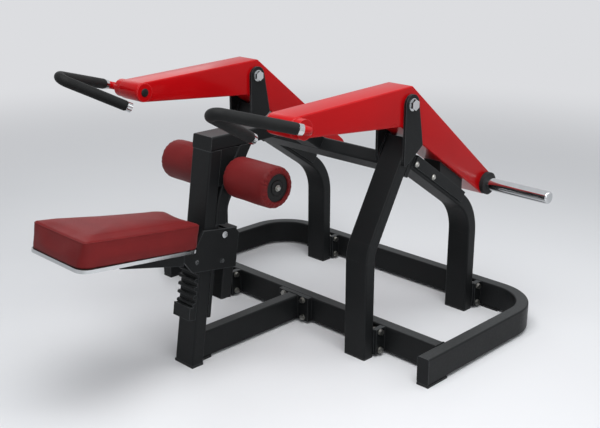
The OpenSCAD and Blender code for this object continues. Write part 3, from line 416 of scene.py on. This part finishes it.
def inflate(piece, pinned, pressure, capMm, calm):
    # pressure swells the cover, the cap keeps it near the cut shape, calming draws its ripples out
    start = [v.co.copy() for v in piece.data.vertices]
    group = piece.vertex_groups.new(name="held")
    group.add([i for i, p in enumerate(start) if pinned(p)], 1.0, "REPLACE")
    cloth = piece.modifiers.new("cover", "CLOTH")
    cloth.settings.use_pressure = True
    cloth.settings.uniform_pressure_force = pressure
    cloth.settings.effector_weights.gravity = 0
    cloth.settings.vertex_group_mass = "held"
    cloth.settings.tension_stiffness = fabric["tension"]
    cloth.settings.compression_stiffness = fabric["compression"]
    cloth.settings.shear_stiffness = fabric["shear"]
    cloth.settings.bending_stiffness = fabric["bending"]
    cloth.point_cache.frame_start = 1
    cloth.point_cache.frame_end = fabric["frames"]
    scene = bpy.context.scene
    for step in range(1, fabric["frames"] + 1):
        scene.frame_set(step)
    mesh = frozen(piece)
    scene.frame_set(1)
    moves = [v.co - p for v, p in zip(mesh.vertices, start)]
    moves = [m.normalized() * min(m.length, capMm * mm) for m in moves]
    near = [[] for p in start]
    for edge in mesh.edges:
        a, b = edge.vertices
        near[a].append(b)
        near[b].append(a)
    for step in range(calm):
        moves = [(m + sum((moves[k] for k in near[i]), Vector())) / (len(near[i]) + 1)
                 for i, m in enumerate(moves)]
    for v, p, m in zip(mesh.vertices, start, moves):
        v.co = p + m
    piece.vertex_groups.clear()


def remesh(piece, voxelMm):
    cut = piece.modifiers.new("weave", "REMESH")
    cut.mode = "VOXEL"
    cut.voxel_size = voxelMm * mm
    frozen(piece)


def refine(piece, rounds):
    sub = piece.modifiers.new("fine", "SUBSURF")
    sub.levels = sub.render_levels = rounds
    frozen(piece)
    for face in piece.data.polygons:
        face.use_smooth = True


# Seat cushion, built square to the upright and then leaned with it

upright = {"footY": -374.554 * mm, "lean": 8.5}
leanUpright = (Matrix.Translation((0, upright["footY"], 0))
               @ Matrix.Rotation(math.radians(-upright["lean"]), 4, "X"))

seat = {"frontHalf": 153, "rearHalf": 107, "front": -560, "rear": -58, "corner": 34,
        "topCorner": 13, "inset": 2.5, "base": 465.4, "top": 551, "edge": 7, "crown": 11,
        "setBack": 7, "voxelMm": 5, "pressure": 4, "capMm": 7, "calm": 24, "weltMm": 1.7,
        "weltDrop": 3, "arcSteps": 8, "edgeSteps": 6, "leastCorner": 3, "hemIn": 1.0, "hemHigh": 6,
        "waistIn": 1.5, "domeShares": (0.85, 0.7, 0.5, 0.25), "heldMm": 5, "weltStep": 7}


def seatOutline(inset, height):
    # corner arcs of the tapered seat, anticlockwise from the front left; the front leans back
    # as it rises, and the corners sharpen towards the top seam
    rise = (height - seat["base"]) / (seat["top"] - seat["base"])
    front = seat["front"] + seat["setBack"] * rise
    corners = [(-seat["frontHalf"], front), (seat["frontHalf"], front),
               (seat["rearHalf"], seat["rear"]), (-seat["rearHalf"], seat["rear"])]
    points = []
    for k in range(len(corners)):
        before, here, after = (Vector(corners[(k + d) % 4]) for d in (-1, 0, 1))
        a, b = (before - here).normalized(), (after - here).normalized()
        half = a.angle(b) / 2
        radius = seat["corner"] + (seat["topCorner"] - seat["corner"]) * min(1, rise)
        radius = max(inset + seat["leastCorner"], radius)
        centre = here + (a + b).normalized() * (radius / math.sin(half))
        fromDir = (here + a * (radius / math.tan(half)) - centre).normalized()
        toDir = (here + b * (radius / math.tan(half)) - centre).normalized()
        sweep = fromDir.angle(toDir)
        for i in range(seat["arcSteps"] + 1):
            turn = sweep * i / seat["arcSteps"]
            side = Vector((-fromDir.y, fromDir.x))
            out = fromDir * math.cos(turn) + side * math.sin(turn)
            points.append(centre + out * (radius - inset))
    return points


def makeCushion():
    # rings from the hem up the sides, over the rolled edge and in to the crown
    cut, edge, base, top = seat["inset"], seat["edge"], seat["base"], seat["top"]
    rings = [(cut + seat["hemIn"], base), (cut, base + seat["hemHigh"]),
             (cut + seat["waistIn"], (base + top) / 2), (cut, top - edge)]
    for i in range(1, seat["edgeSteps"] + 1):
        turn = math.radians(90 * i / seat["edgeSteps"])
        rings.append((cut + edge * (1 - math.cos(turn)), top - edge + edge * math.sin(turn)))
    points, sides = [], 4 * (seat["arcSteps"] + 1)
    for inset, height in rings:
        points += [Vector((p.x, p.y, height)) * mm for p in seatOutline(inset, height)]
    middle = (seat["front"] + seat["rear"]) / 2
    brim = seatOutline(rings[-1][0], top)
    for share in seat["domeShares"]:
        dome = top + seat["crown"] * (1 - share * share)
        points += [Vector((p.x * share, middle + (p.y - middle) * share, dome)) * mm for p in brim]
    count = len(points) // sides
    faces = stitchRings(count, sides)
    points.append(Vector((0, middle, base)) * mm)
    points.append(Vector((0, middle, top + seat["crown"])) * mm)
    low, high = len(points) - 2, len(points) - 1
    for i in range(sides):
        n = (i + 1) % sides
        faces.append((low, n, i))
        faces.append((high, (count - 1) * sides + i, (count - 1) * sides + n))
    piece = newPiece("seatCushion", meshFrom("seatCushion", points, faces), "vinyl")
    remesh(piece, seat["voxelMm"])
    floorLine = (base + seat["heldMm"]) * mm
    inflate(piece, lambda p: p.z < floorLine, seat["pressure"], seat["capMm"], seat["calm"])
    refine(piece, 1)
    for v in piece.data.vertices:
        v.co = leanUpright @ v.co
    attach(piece, "seat")
    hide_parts("seat_pad")
    return piece


cushion = makeCushion()
print("seat cushion made")


# Thigh rollers

roller = {"middleX": 167.5, "y": -160.262, "z": 676.746, "halfLength": 102, "radius": 73.5,
          "shoulder": 20, "rimRadius": 49, "sink": 6, "coreRadius": 21.5, "voxelMm": 4.5,
          "pressure": 3, "capMm": 5, "calm": 8, "gathers": 22, "gatherMm": 1.7, "unevenMm": 1.3,
          "proud": 10, "endGap": 0.5, "hemMm": 1, "shoulderSteps": 6, "barrelAt": (20, 45),
          "sides": 72, "heldMm": 2.5, "stillMm": 1.5, "wobble": 5, "wobbleRound": 2,
          "wobbleSeed": 3.1, "gatherIn": 26, "gatherRamp": 24, "unevenAlong": 14,
          "unevenRound": 1.3, "slackMm": 0.6, "pinchShare": 0.6, "foldFrom": 0.75,
          "foldShare": 0.7, "turnRight": 0.4, "turnLeft": 2.3}


def rollerProfile():
    # half of the section, from the mouth of the end pocket out to the middle of the barrel
    half, r, s = roller["halfLength"] - roller["endGap"], roller["radius"], roller["shoulder"]
    line = [(half - roller["sink"], roller["rimRadius"]),
            (half - roller["hemMm"], roller["rimRadius"] + roller["hemMm"])]
    for i in range(roller["shoulderSteps"] + 1):
        turn = math.radians(90 - 90 * i / roller["shoulderSteps"])
        line.append((half - s + s * math.sin(turn), r - s + s * math.cos(turn)))
    return line + [(half - s - back, r) for back in roller["barrelAt"]] + [(0, r)]


def makeRollers():
    half = rollerProfile()
    outer = [half[0]] + [(x + roller["proud"], r) for x, r in half[1:-1]]
    section = outer + [half[-1]] + [(-x, r) for x, r in reversed(half[:-1])]
    section += [(-half[0][0], roller["coreRadius"]), (half[0][0], roller["coreRadius"])]
    points = [p * mm for p in spun(section, roller["sides"])]
    faces = stitchRings(len(section), roller["sides"], closed=True)
    base = newPiece("rollerPadRight", meshFrom("rollerPad", points, faces), "vinyl")
    remesh(base, roller["voxelMm"])
    held = roller["rimRadius"] * mm + roller["heldMm"] * mm
    inflate(base, lambda p: math.hypot(p.y, p.z) < held,
            roller["pressure"], roller["capMm"], roller["calm"])
    refine(base, 1)
    for v in base.data.vertices:
        radial = math.hypot(v.co.y, v.co.z)
        if radial < (roller["rimRadius"] + roller["stillMm"]) * mm:
            continue
        turn = math.atan2(v.co.z, v.co.y)
        y, z = math.cos(turn), math.sin(turn)
        loops, lumps = roller["wobbleRound"], roller["unevenRound"]
        wobble = noise.noise(Vector((y * loops, z * loops, roller["wobbleSeed"])))
        fold = math.cos(roller["gathers"] * turn + roller["wobble"] * wobble)
        end = roller["halfLength"] + (roller["proud"] if v.co.x > 0 else 0)
        deep = min(1, max(0, (abs(v.co.x) / mm - end + roller["gatherIn"]) / roller["gatherRamp"]))
        uneven = noise.noise(Vector((v.co.x * roller["unevenAlong"], y * lumps, z * lumps)))
        outward = Vector((0, v.co.y, v.co.z)).normalized()
        pinch = deep * (1 - fold) * roller["gatherMm"] * roller["pinchShare"]
        v.co += outward * (uneven * roller["unevenMm"] - roller["slackMm"] - pinch) * mm
        if deep > roller["foldFrom"]:
            tuck = (1 - fold) * roller["gatherMm"] * roller["foldShare"] * mm
            v.co.x -= math.copysign(tuck, v.co.x)
    other = newPiece("rollerPadLeft", base.data.copy(), "vinyl")
    for piece, side, spin in ((base, 1, roller["turnRight"]), (other, -1, roller["turnLeft"])):
        middle = Vector((side * roller["middleX"], roller["y"], roller["z"])) * mm
        facing = Matrix.Rotation(0 if side > 0 else math.pi, 4, "Z")
        piece.data.transform(Matrix.Translation(middle) @ Matrix.Rotation(spin, 4, "X") @ facing)
        name = "right" if side > 0 else "left"
        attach(piece, name + "_roller")
        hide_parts("roller_pad_" + name)


makeRollers()
print("thigh rollers made")


# Foam sleeves on the V handles

handle = {"root": (529.0, -240.141, 924.734), "along": (-0.331217, -0.904602, 0.26831),
          "across": (-0.889321, 0.204275, -0.409121), "halfAngle": 17.6, "corner": 385,
          "start": 67.3, "back": 301.7, "bend": 22.5, "radius": 19.2, "boreMm": 14.3, "lip": 4.5,
          "sides": 32, "stepMm": 4,
          "lipShape": ((0.0, 0.42), (0.12, 0.22), (0.4, 0.08), (0.8, 0.015)), "swellPerMm": 0.02,
          "swellMm": 0.25, "creaseLong": 1.6, "creaseMm": 0.5}


def handlePath():
    # centre line of the sleeve: points with the direction, the distance along and how bent it is
    root, along, across = (Vector(handle[k]) for k in ("root", "along", "across"))
    turn = math.radians(180 - 2 * handle["halfAngle"])
    back = along * math.cos(turn) + across * math.sin(turn)
    tangent = handle["bend"] * math.tan(turn / 2)
    corner = root + along * handle["corner"]
    out = handle["corner"] - tangent - handle["start"]
    home = handle["back"] - tangent
    centre = corner - along * tangent + across * handle["bend"]
    arc = handle["bend"] * turn
    total = out + arc + home
    steps = int(total / handle["stepMm"])
    path = []
    for i in range(steps + 1):
        s = total * i / steps
        if s < out:
            path.append((root + along * (handle["start"] + s), along, s, 0.0))
        elif s < out + arc:
            a = (s - out) / handle["bend"]
            spot = centre + (along * math.sin(a) - across * math.cos(a)) * handle["bend"]
            travel = along * math.cos(a) + across * math.sin(a)
            path.append((spot, travel, s, math.sin(math.pi * (s - out) / arc)))
        else:
            path.append((corner + back * (tangent + s - out - arc), back, s, 0.0))
    return path


def makeSleeves():
    path = handlePath()
    flat = Vector(handle["along"]).cross(Vector(handle["across"])).normalized()
    sides = handle["sides"]
    rings = []
    lip = handle["lip"]
    ends = [(reach, 1 - drawn) for reach, drawn in handle["lipShape"]]

    def ring(spot, travel, s, bent, scale):
        inward = travel.cross(flat).normalized()
        found = []
        for i in range(sides):
            a = 2 * math.pi * i / sides
            out = flat * math.cos(a) + inward * math.sin(a)
            swell = noise.noise(spot * handle["swellPerMm"] + out) * handle["swellMm"]
            crease = bent * max(0.0, -out.dot(inward)) * math.sin(s / handle["creaseLong"])
            crease *= handle["creaseMm"]
            found.append(spot + out * ((handle["radius"] + swell + crease) * scale))
        return found

    def bore(spot, travel):
        inward = travel.cross(flat).normalized()
        return [spot + (flat * math.cos(a) + inward * math.sin(a)) * handle["boreMm"]
                for a in (2 * math.pi * i / sides for i in range(sides))]

    first, last = path[0], path[-1]
    for reach, scale in ends:
        rings.append([p + first[1] * lip * reach for p in ring(*first, scale)])
    rings += [ring(*p, 1.0) for p in path[1:-1]]
    for reach, scale in reversed(ends):
        rings.append([p - last[1] * lip * reach for p in ring(*last, scale)])
    rings += [bore(p[0], p[1]) for p in reversed(path)]
    points = [p * mm for r in rings for p in r]
    faces = stitchRings(len(rings), sides, closed=True)
    for name, spots, skin in bothSides(points, faces):
        mesh = meshFrom("gripSleeve" + name, spots, skin)
        faceOut(mesh)
        piece = newPiece("gripSleeve" + name, mesh, "grip_foam")
        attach(piece, name.lower() + "_arm")
        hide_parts("handle_grip_" + name.lower())


makeSleeves()
print("grip sleeves made")


# Lever arms: plate boxes with rolled edges

arm = {"middleX": 395, "halfWidth": 55, "edge": 5, "edgeSteps": 4, "arcSteps": 14,
       "hub": (-240.141, 924.734), "hubRadius": 36, "crest": (317.859, 965.734), "crestRadius": 14,
       "nook": (265.859, 842.734), "horn": (805.859, 528.734), "hornRadius": 45, "skinMm": 0.05,
       "mergeMm": 0.02}


def armOutline(inset):
    # side view drawn tight round four circles, anticlockwise; the nook turns the other way
    circles = [(Vector(arm["nook"]), -inset), (Vector(arm["horn"]), arm["hornRadius"] - inset),
               (Vector(arm["crest"]), arm["crestRadius"] - inset),
               (Vector(arm["hub"]), arm["hubRadius"] - inset)]
    normals = []
    for k, (spot, radius) in enumerate(circles):
        other, otherRadius = circles[(k + 1) % 4]
        run = other - spot
        lean = (radius - otherRadius) / run.length
        run.normalize()
        normals.append(Vector((run.y, -run.x)) * math.sqrt(1 - lean * lean) + run * lean)
    points = []
    for k, (spot, radius) in enumerate(circles):
        start = math.atan2(normals[k - 1].y, normals[k - 1].x)
        sweep = (math.atan2(normals[k].y, normals[k].x) - start) % (2 * math.pi)
        if k == 0:
            sweep -= 2 * math.pi
        for i in range(arm["arcSteps"] + 1):
            turn = start + sweep * i / arm["arcSteps"]
            points.append(spot + Vector((math.cos(turn), math.sin(turn))) * radius)
    return points


def makeArms():
    half, edge, steps = arm["halfWidth"], arm["edge"], arm["edgeSteps"]
    sections = []
    for i in range(steps + 1):
        turn = math.pi / 2 * i / steps
        inset = edge * (1 - math.sin(turn)) + arm["skinMm"]
        sections.append((half - edge * (1 - math.cos(turn)), inset))
    sections = [(-x, inset) for x, inset in sections] + list(reversed(sections))
    points = []
    for x, inset in sections:
        points += [Vector((arm["middleX"] + x, p.x, p.y)) * mm for p in armOutline(inset)]
    sides = len(points) // len(sections)
    faces = stitchRings(len(sections), sides)
    faces.append(tuple(reversed(range(sides))))
    faces.append(tuple((len(sections) - 1) * sides + i for i in range(sides)))
    for name, spots, skin in bothSides(points, faces):
        mesh = meshFrom("leverArm" + name, spots, skin)
        faceOut(mesh, arm["mergeMm"])
        piece = newPiece("leverArm" + name, mesh, "arm_paint")
        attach(piece, name.lower() + "_arm")
        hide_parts("arm_" + name.lower())


makeArms()
print("lever arms made")


# Weld beads: rippled fillets along the joints, half sunk in the seam

weld = {"radiusMm": 3.0, "rippleMm": 5.0, "stepMm": 1.6, "sides": 7, "ripple": 0.15, "hubMm": 2.2,
        "cornerSteps": 4, "cornerMm": 7, "ringSteps": 48,
        "hubRings": ((-55, 33), (55, 33), (85, 14))}
joints = {"postBack": 152.446, "strutBack": 767.446, "frontRail": 228.446, "rearRail": 836.446,
          "low": 9, "high": 109, "legIn": 685, "lugOut": 60, "crossMid": (331.762, 683.265),
          "fall": 34, "postBend": (127.446, 405), "postLean": 29.3, "flangeU": 364.656,
          "flangeBack": 45, "wideHalf": 50, "thinHalf": 25, "trim": 2, "lugIn": 40,
          "centreLug": 80, "beamEnd": 45, "beamUp": 67.1, "beamHalf": 50.5}


def boxLoop(centre, a, b, halfA, halfB):
    # rounded rectangle spanned by the directions a and b
    line, radius = [], weld["cornerMm"]
    for k, (sa, sb) in enumerate(((1, 1), (-1, 1), (-1, -1), (1, -1))):
        for i in range(weld["cornerSteps"] + 1):
            turn = math.radians(90 * k + 90 * i / weld["cornerSteps"])
            line.append(centre + a * (sa * (halfA - radius) + radius * math.cos(turn))
                        + b * (sb * (halfB - radius) + radius * math.sin(turn)))
    return line + [line[0]]


def circleLoop(centre, radius):
    turns = [2 * math.pi * i / weld["ringSteps"] for i in range(weld["ringSteps"] + 1)]
    return [centre + Vector((0, math.cos(t), math.sin(t))) * radius for t in turns]


def resample(line, step):
    lengths = [(q - p).length for p, q in zip(line, line[1:])]
    total = sum(lengths)
    count = max(3, int(total / step))
    found, k, done = [], 0, 0.0
    for i in range(count + 1):
        s = total * i / count
        while k < len(lengths) - 1 and done + lengths[k] < s:
            done += lengths[k]
            k += 1
        found.append(line[k].lerp(line[k + 1], min(1.0, (s - done) / max(lengths[k], 1e-9))))
    return found


def makeBeads(name, lines, slotName, body, radius, ripple):
    sides, points, faces = weld["sides"], [], []
    for line in lines:
        spots = resample(line, weld["stepMm"])
        first = len(points)
        for i, spot in enumerate(spots):
            travel = (spots[min(i + 1, len(spots) - 1)] - spots[max(i - 1, 0)]).normalized()
            across = travel.orthogonal() if i == 0 else across - travel * across.dot(travel)
            across.normalize()
            other = travel.cross(across)
            wave = math.sin(2 * math.pi * i * weld["stepMm"] / weld["rippleMm"])
            swell = radius * (1 + ripple * wave)
            for k in range(sides):
                turn = 2 * math.pi * k / sides
                out = across * math.cos(turn) + other * math.sin(turn)
                points.append((spot + out * swell) * mm)
        faces += [tuple(first + v for v in f) for f in stitchRings(len(spots), sides)]
        faces.append(tuple(first + k for k in reversed(range(sides))))
        faces.append(tuple(first + (len(spots) - 1) * sides + k for k in range(sides)))
    piece = newPiece(name, meshFrom(name, points, faces), slotName)
    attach(piece, body)


def mirrored(lines):
    return lines + [[Vector((-p.x, p.y, p.z)) for p in line] for line in lines]


def frameLines():
    xDir, yDir, zDir = Vector((1, 0, 0)), Vector((0, 1, 0)), Vector((0, 0, 1))
    wide, thin, low, high = joints["wideHalf"], joints["thinHalf"], joints["low"], joints["high"]
    midZ, halfZ = (low + high) / 2, (high - low) / 2
    run = (low + joints["trim"], high - joints["trim"])
    fall, lean = math.radians(joints["fall"]), math.radians(joints["postLean"])
    down = Vector((0, -math.cos(fall), math.sin(fall)))
    square = Vector((0, math.sin(fall), math.cos(fall)))
    cross = Vector((arm["middleX"] - wide, *joints["crossMid"]))
    corner = Vector((joints["legIn"], joints["frontRail"], midZ))
    lines = [boxLoop(cross, down, square, wide, thin), boxLoop(corner, yDir, zDir, thin, halfZ)]
    for railY in (joints["frontRail"], joints["rearRail"]):
        for side in (-1, 1):
            x = arm["middleX"] + side * joints["lugOut"]
            lines.append([Vector((x, railY - thin, z)) for z in run])
    for back in (joints["postBack"], joints["strutBack"]):
        for x in (arm["middleX"] - joints["lugIn"], arm["middleX"] + joints["lugIn"]):
            lines.append([Vector((x, back, z)) for z in run])
    up = Vector((0, math.sin(lean), math.cos(lean)))
    out = Vector((0, math.cos(lean), -math.sin(lean)))
    flange = Vector((arm["middleX"], *joints["postBend"]))
    flange = flange + up * joints["flangeU"] + out * joints["flangeBack"]
    lines.append(boxLoop(flange, xDir, up, wide, thin))
    lines.append([Vector((joints["centreLug"], joints["frontRail"] - thin, z)) for z in run])
    lines = mirrored(lines)
    beam = Vector((0, joints["frontRail"] - joints["beamEnd"], midZ))
    lines.append(boxLoop(beam, xDir, zDir, thin, halfZ))
    climb = leanUpright.to_3x3() @ Vector((0, 0, 1))
    foot = (leanUpright @ Vector((0, wide * mm, 0))) / mm + climb * joints["beamUp"]
    lines.append(boxLoop(foot, xDir, climb, thin, joints["beamHalf"]))
    return lines


def makeWelds():
    makeBeads("frameWelds", frameLines(), "frame_paint", "frame", weld["radiusMm"], weld["ripple"])
    hub = Vector((arm["middleX"], *arm["hub"]))
    red = [circleLoop(hub + Vector((reach, 0, 0)), radius) for reach, radius in weld["hubRings"]]
    for name, side in (("Right", 1), ("Left", -1)):
        lines = [[Vector((side * p.x, p.y, p.z)) for p in line] for line in red]
        makeBeads("hubWelds" + name, lines, "arm_paint", name.lower() + "_arm",
                  weld["hubMm"], weld["ripple"])


def makeWelt():
    # sewn seam round the top edge of the cushion, laid on its finished surface
    cover = BVHTree.FromPolygons([v.co for v in cushion.data.vertices],
                                 [tuple(f.vertices) for f in cushion.data.polygons])
    drop = seat["top"] - seat["weltDrop"]
    seam = [Vector((p.x, p.y, drop)) for p in seatOutline(seat["inset"], seat["top"])]
    line = []
    for spot in resample(seam, seat["weltStep"]):
        nearest = cover.find_nearest(leanUpright @ (spot * mm))[0]
        line.append(nearest / mm)
    line.append(line[0])
    makeBeads("seatWelt", [line], "vinyl", "seat", seat["weltMm"], 0.0)


makeWelds()
makeWelt()
print("weld beads and seat welt made")


# Fasteners, plugs, roller axle and seat guide

screw = {"headMm": 9, "highMm": 5.2, "washerMm": 11, "socketMm": 4, "deepMm": 3, "washerHigh": 1.6,
         "gapMm": 0.05, "washerEdge": 1.2, "bevelMm": 0.5, "domeAt": (20, 40, 55, 66),
         "domeShape": 0.6, "rimShare": 0.97, "draftMm": 0.3}
plug = {"x": 336,
        "profile": ((-4, 10.8), (0.1, 10.8), (0.1, 15.5), (1.4, 15.4),
                    (2.6, 13.5), (3.4, 9), (3.7, 4))}
saddle = {"bend": (742.446, 433), "fall": 34, "outMm": 56, "alongMm": (338, 460)}


def turned(profile, sides=28):
    # closed solid of revolution about X, from points given as (x, radius)
    faces = stitchRings(len(profile), sides)
    faces.append(tuple(reversed(range(sides))))
    faces.append(tuple((len(profile) - 1) * sides + i for i in range(sides)))
    return spun(profile, sides), faces


def screwProfile():
    # washer, domed head and a sunk drive
    h, r, flat, wide = screw["highMm"], screw["headMm"], screw["washerHigh"], screw["washerMm"]
    line = [(screw["gapMm"], wide), (screw["washerEdge"], wide),
            (flat, wide - screw["bevelMm"]), (flat, r)]
    for a in (math.radians(d) for d in screw["domeAt"]):
        line.append((flat + h * math.sin(a), r * math.cos(a) ** screw["domeShape"]))
    line.append((flat + h * screw["rimShare"], screw["socketMm"]))
    line.append((flat + h - screw["deepMm"], screw["socketMm"] - screw["draftMm"]))
    return line


def makeFasteners():
    form = turned(screwProfile())
    fall = math.radians(saddle["fall"])
    along = Vector((0, -math.cos(fall), math.sin(fall)))
    parts = []
    for side in (1, -1):
        for face in (1, -1):
            points, faces = form if face > 0 else flipped(form)
            for reach in saddle["alongMm"]:
                x = side * arm["middleX"] + face * saddle["outMm"]
                spot = Vector((x, *saddle["bend"])) + along * reach
                parts.append(([(spot + p) * mm for p in points], faces))
    piece = newPiece("saddleScrews", meshFrom("saddleScrews", *gather(parts)), "zinc_steel")
    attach(piece, "frame")
    dome, skin = flipped(turned(plug["profile"]))
    hub = Vector((plug["x"], *arm["hub"]))
    for name, points, faces in bothSides([(hub + p) * mm for p in dome], skin):
        mesh = meshFrom("hubPlug" + name, points, faces)
        piece = newPiece("hubPlug" + name, mesh, "black_plastic")
        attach(piece, name.lower() + "_arm")


axle = {"shaftMm": 12.5, "endMm": 270, "collarIn": 50, "collarOut": 65, "collarMm": 21.2,
        "capDeep": 4, "washerMm": 11, "headMm": 8.5, "bevelMm": 1.2, "tipMm": 0.8, "sides": 40,
        "headSides": 6, "washerShape": ((-2, 0), (0.6, 0), (1.2, 0.6)),
        "headShape": ((1, 0), (6, 0), (7, 1.4)),
        "capShape": ((0, 26), (0.8, 27), (2.4, 26.4), (4, 23), (3.6, 14), (2.8, 12.5))}


def makeAxle():
    # ground shaft with two collars, dust caps and a bolt at each end
    r, big, bevel, end = axle["shaftMm"], axle["collarMm"], axle["bevelMm"], axle["endMm"]
    inner, outer = axle["collarIn"], axle["collarOut"]
    side = [(inner, r), (inner, big - bevel), (inner + bevel, big), (outer - bevel, big),
            (outer, big - bevel), (outer, r), (end - axle["tipMm"], r), (end, r - axle["tipMm"])]
    shaft = turned([(-x, y) for x, y in reversed(side)] + side, axle["sides"])
    seatX = end + axle["capDeep"]
    washer = turned([(seatX + x, axle["washerMm"] - inset) for x, inset in axle["washerShape"]])
    head = turned([(seatX + x, axle["headMm"] - inset) for x, inset in axle["headShape"]],
                  axle["headSides"])
    points, faces = gather([shaft, washer, flipped(washer), head, flipped(head)])
    place = Vector((0, roller["y"], roller["z"]))
    points = [(p + place) * mm for p in points]
    mesh = meshFrom("rollerAxle", points, faces, smooth=False)
    piece = newPiece("rollerAxle", mesh, "zinc_steel")
    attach(piece, "frame")
    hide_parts("roller_axle")
    cap = turned([(end + x, radius) for x, radius in axle["capShape"]], axle["sides"])
    points, faces = gather([cap, flipped(cap)])
    points = [(p + place) * mm for p in points]
    piece = newPiece("axleDustCaps", meshFrom("axleDustCaps", points, faces), "black_plastic")
    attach(piece, "frame")


guide = {"edgeMm": 2, "edgeSteps": 3, "mergeMm": 0.01, "flatDeg": 1}


def makeGuide():
    # flat bar with rounded edges, painted with the frame
    mesh = nodes["guide_bar"].data.copy()
    mesh.name = "seatGuide"
    form = bmesh.new()
    form.from_mesh(mesh)
    bmesh.ops.remove_doubles(form, verts=form.verts, dist=guide["mergeMm"] * mm)
    bmesh.ops.dissolve_limit(form, angle_limit=math.radians(guide["flatDeg"]),
                             verts=form.verts, edges=form.edges)
    bmesh.ops.bevel(form, geom=form.edges[:], offset=guide["edgeMm"] * mm,
                    segments=guide["edgeSteps"], profile=0.5, affect="EDGES")
    form.to_mesh(mesh)
    form.free()
    piece = newPiece("seatGuide", mesh, "frame_paint")
    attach(piece, "frame")
    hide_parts("guide_bar")


makeFasteners()
makeAxle()
makeGuide()
print("fasteners, plugs, axle and guide made")


# Studio

# the floor fades to the backdrop between nearM and farM
studio = {"floor": "#e4e5e7", "floorShade": "#dddfe2", "backdrop": "#dcdde0", "world": "#dfe2e6",
          "worldStrength": 0.4, "reach": 40, "nearM": 2.0, "farM": 5.5, "floorRough": 0.7,
          "patchMm": 1428.57}
# place, aim, size in metres and watts
lamps = {"keyBox": ((0.9, -0.6, 3.3), (0, 0, 0.4), 2.6, 112),
         "fillBox": ((3.2, -1.2, 1.9), (0, 0, 0.5), 2.0, 18),
         "rimBox": ((2.6, 2.2, 2.4), (0, 0.2, 0.6), 1.6, 14),
         "sideBox": ((-3.0, 1.2, 2.5), (0, 0, 0.5), 2.0, 14)}


def seenDirectly(owner):
    # 1 for what the camera sees, straight or in metal and glass
    path = addNode(owner, "ShaderNodeLightPath")
    either = addNode(owner, "ShaderNodeMath",
                     {0: path.outputs["Is Camera Ray"], 1: path.outputs["Is Glossy Ray"]},
                     operation="MAXIMUM")
    seen = addNode(owner, "ShaderNodeMath",
                   {0: either.outputs[0], 1: path.outputs["Is Transmission Ray"]},
                   operation="MAXIMUM")
    return seen.outputs[0]


def makeStudio():
    floorMat, shader, place = startMaterial("paleFloor", Roughness=studio["floorRough"])
    cloud = addNode(floorMat, "ShaderNodeTexNoise",
                    {"Vector": place, "Scale": perMetre(studio["patchMm"]), "Detail": 3})
    tone = addNode(floorMat, "ShaderNodeMix", data_type="RGBA", inputs={
        0: cloud.outputs["Fac"],
        6: hexToLinear(studio["floorShade"]), 7: hexToLinear(studio["floor"])})
    join(floorMat, tone.outputs[2], shader.inputs["Base Color"])
    away = addNode(floorMat, "ShaderNodeVectorMath", {0: place}, operation="LENGTH")
    fade = addNode(floorMat, "ShaderNodeMapRange",
                   {"Value": away.outputs["Value"],
                    "From Min": studio["nearM"], "From Max": studio["farM"]},
                   interpolation_type="SMOOTHSTEP")
    share = addNode(floorMat, "ShaderNodeMath",
                    {0: fade.outputs[0], 1: seenDirectly(floorMat)}, operation="MULTIPLY")
    glow = addNode(floorMat, "ShaderNodeEmission", {"Color": hexToLinear(studio["backdrop"])})
    mixed = addNode(floorMat, "ShaderNodeMixShader",
                    {0: share.outputs[0], 1: shader.outputs[0], 2: glow.outputs[0]})
    join(floorMat, mixed.outputs[0], floorMat.node_tree.nodes["Material Output"].inputs["Surface"])
    reach = studio["reach"]
    corners = [Vector((x * reach, y * reach, 0)) for x, y in ((-1, -1), (1, -1), (1, 1), (-1, 1))]
    ground = bpy.data.objects.new("paleFloor", meshFrom("paleFloor", corners, [(0, 1, 2, 3)]))
    ground.data.materials.append(floorMat)
    bpy.context.scene.collection.objects.link(ground)
    world = bpy.data.worlds.new("softRoom")
    world.use_nodes = True
    sky = world.node_tree.nodes["Background"]
    sky.inputs["Color"].default_value = hexToLinear(studio["world"])
    sky.inputs["Strength"].default_value = studio["worldStrength"]
    plain = addNode(world, "ShaderNodeBackground",
                    {"Color": hexToLinear(studio["backdrop"]), "Strength": 1.0})
    both = addNode(world, "ShaderNodeMixShader",
                   {0: seenDirectly(world), 1: sky.outputs[0], 2: plain.outputs[0]})
    join(world, both.outputs[0], world.node_tree.nodes["World Output"].inputs["Surface"])
    bpy.context.scene.world = world
    for name, (spot, aim, size, power) in lamps.items():
        light = bpy.data.lights.new(name, "AREA")
        light.shape = "SQUARE"
        light.size = size
        light.energy = power
        lamp = bpy.data.objects.new(name, light)
        lamp.location = spot
        lamp.rotation_euler = (Vector(aim) - Vector(spot)).to_track_quat("-Z", "Y").to_euler()
        bpy.context.scene.collection.objects.link(lamp)


camera = {"focalPx": 956.42, "widthPx": 600, "sensorMm": 36, "place": (2.481, -2.27465, 1.611),
          "up": (-0.2242, 0.2255, 0.948), "back": (0.6685, -0.6723, 0.318)}


def makeCamera():
    # stands where the photograph was taken from
    eye = bpy.data.cameras.new("photoView")
    eye.sensor_width = camera["sensorMm"]
    eye.lens = camera["focalPx"] / camera["widthPx"] * camera["sensorMm"]
    cam = bpy.data.objects.new("photoView", eye)
    bpy.context.scene.collection.objects.link(cam)
    back = Vector(camera["back"]).normalized()
    right = Vector(camera["up"]).cross(back).normalized()
    turn = Matrix((right, back.cross(right), back)).transposed().to_4x4()
    cam.matrix_world = Matrix.Translation(camera["place"]) @ turn
    bpy.context.scene.camera = cam


makeStudio()
makeCamera()
bpy.context.scene.view_settings.view_transform = "Standard"
print("studio ready")
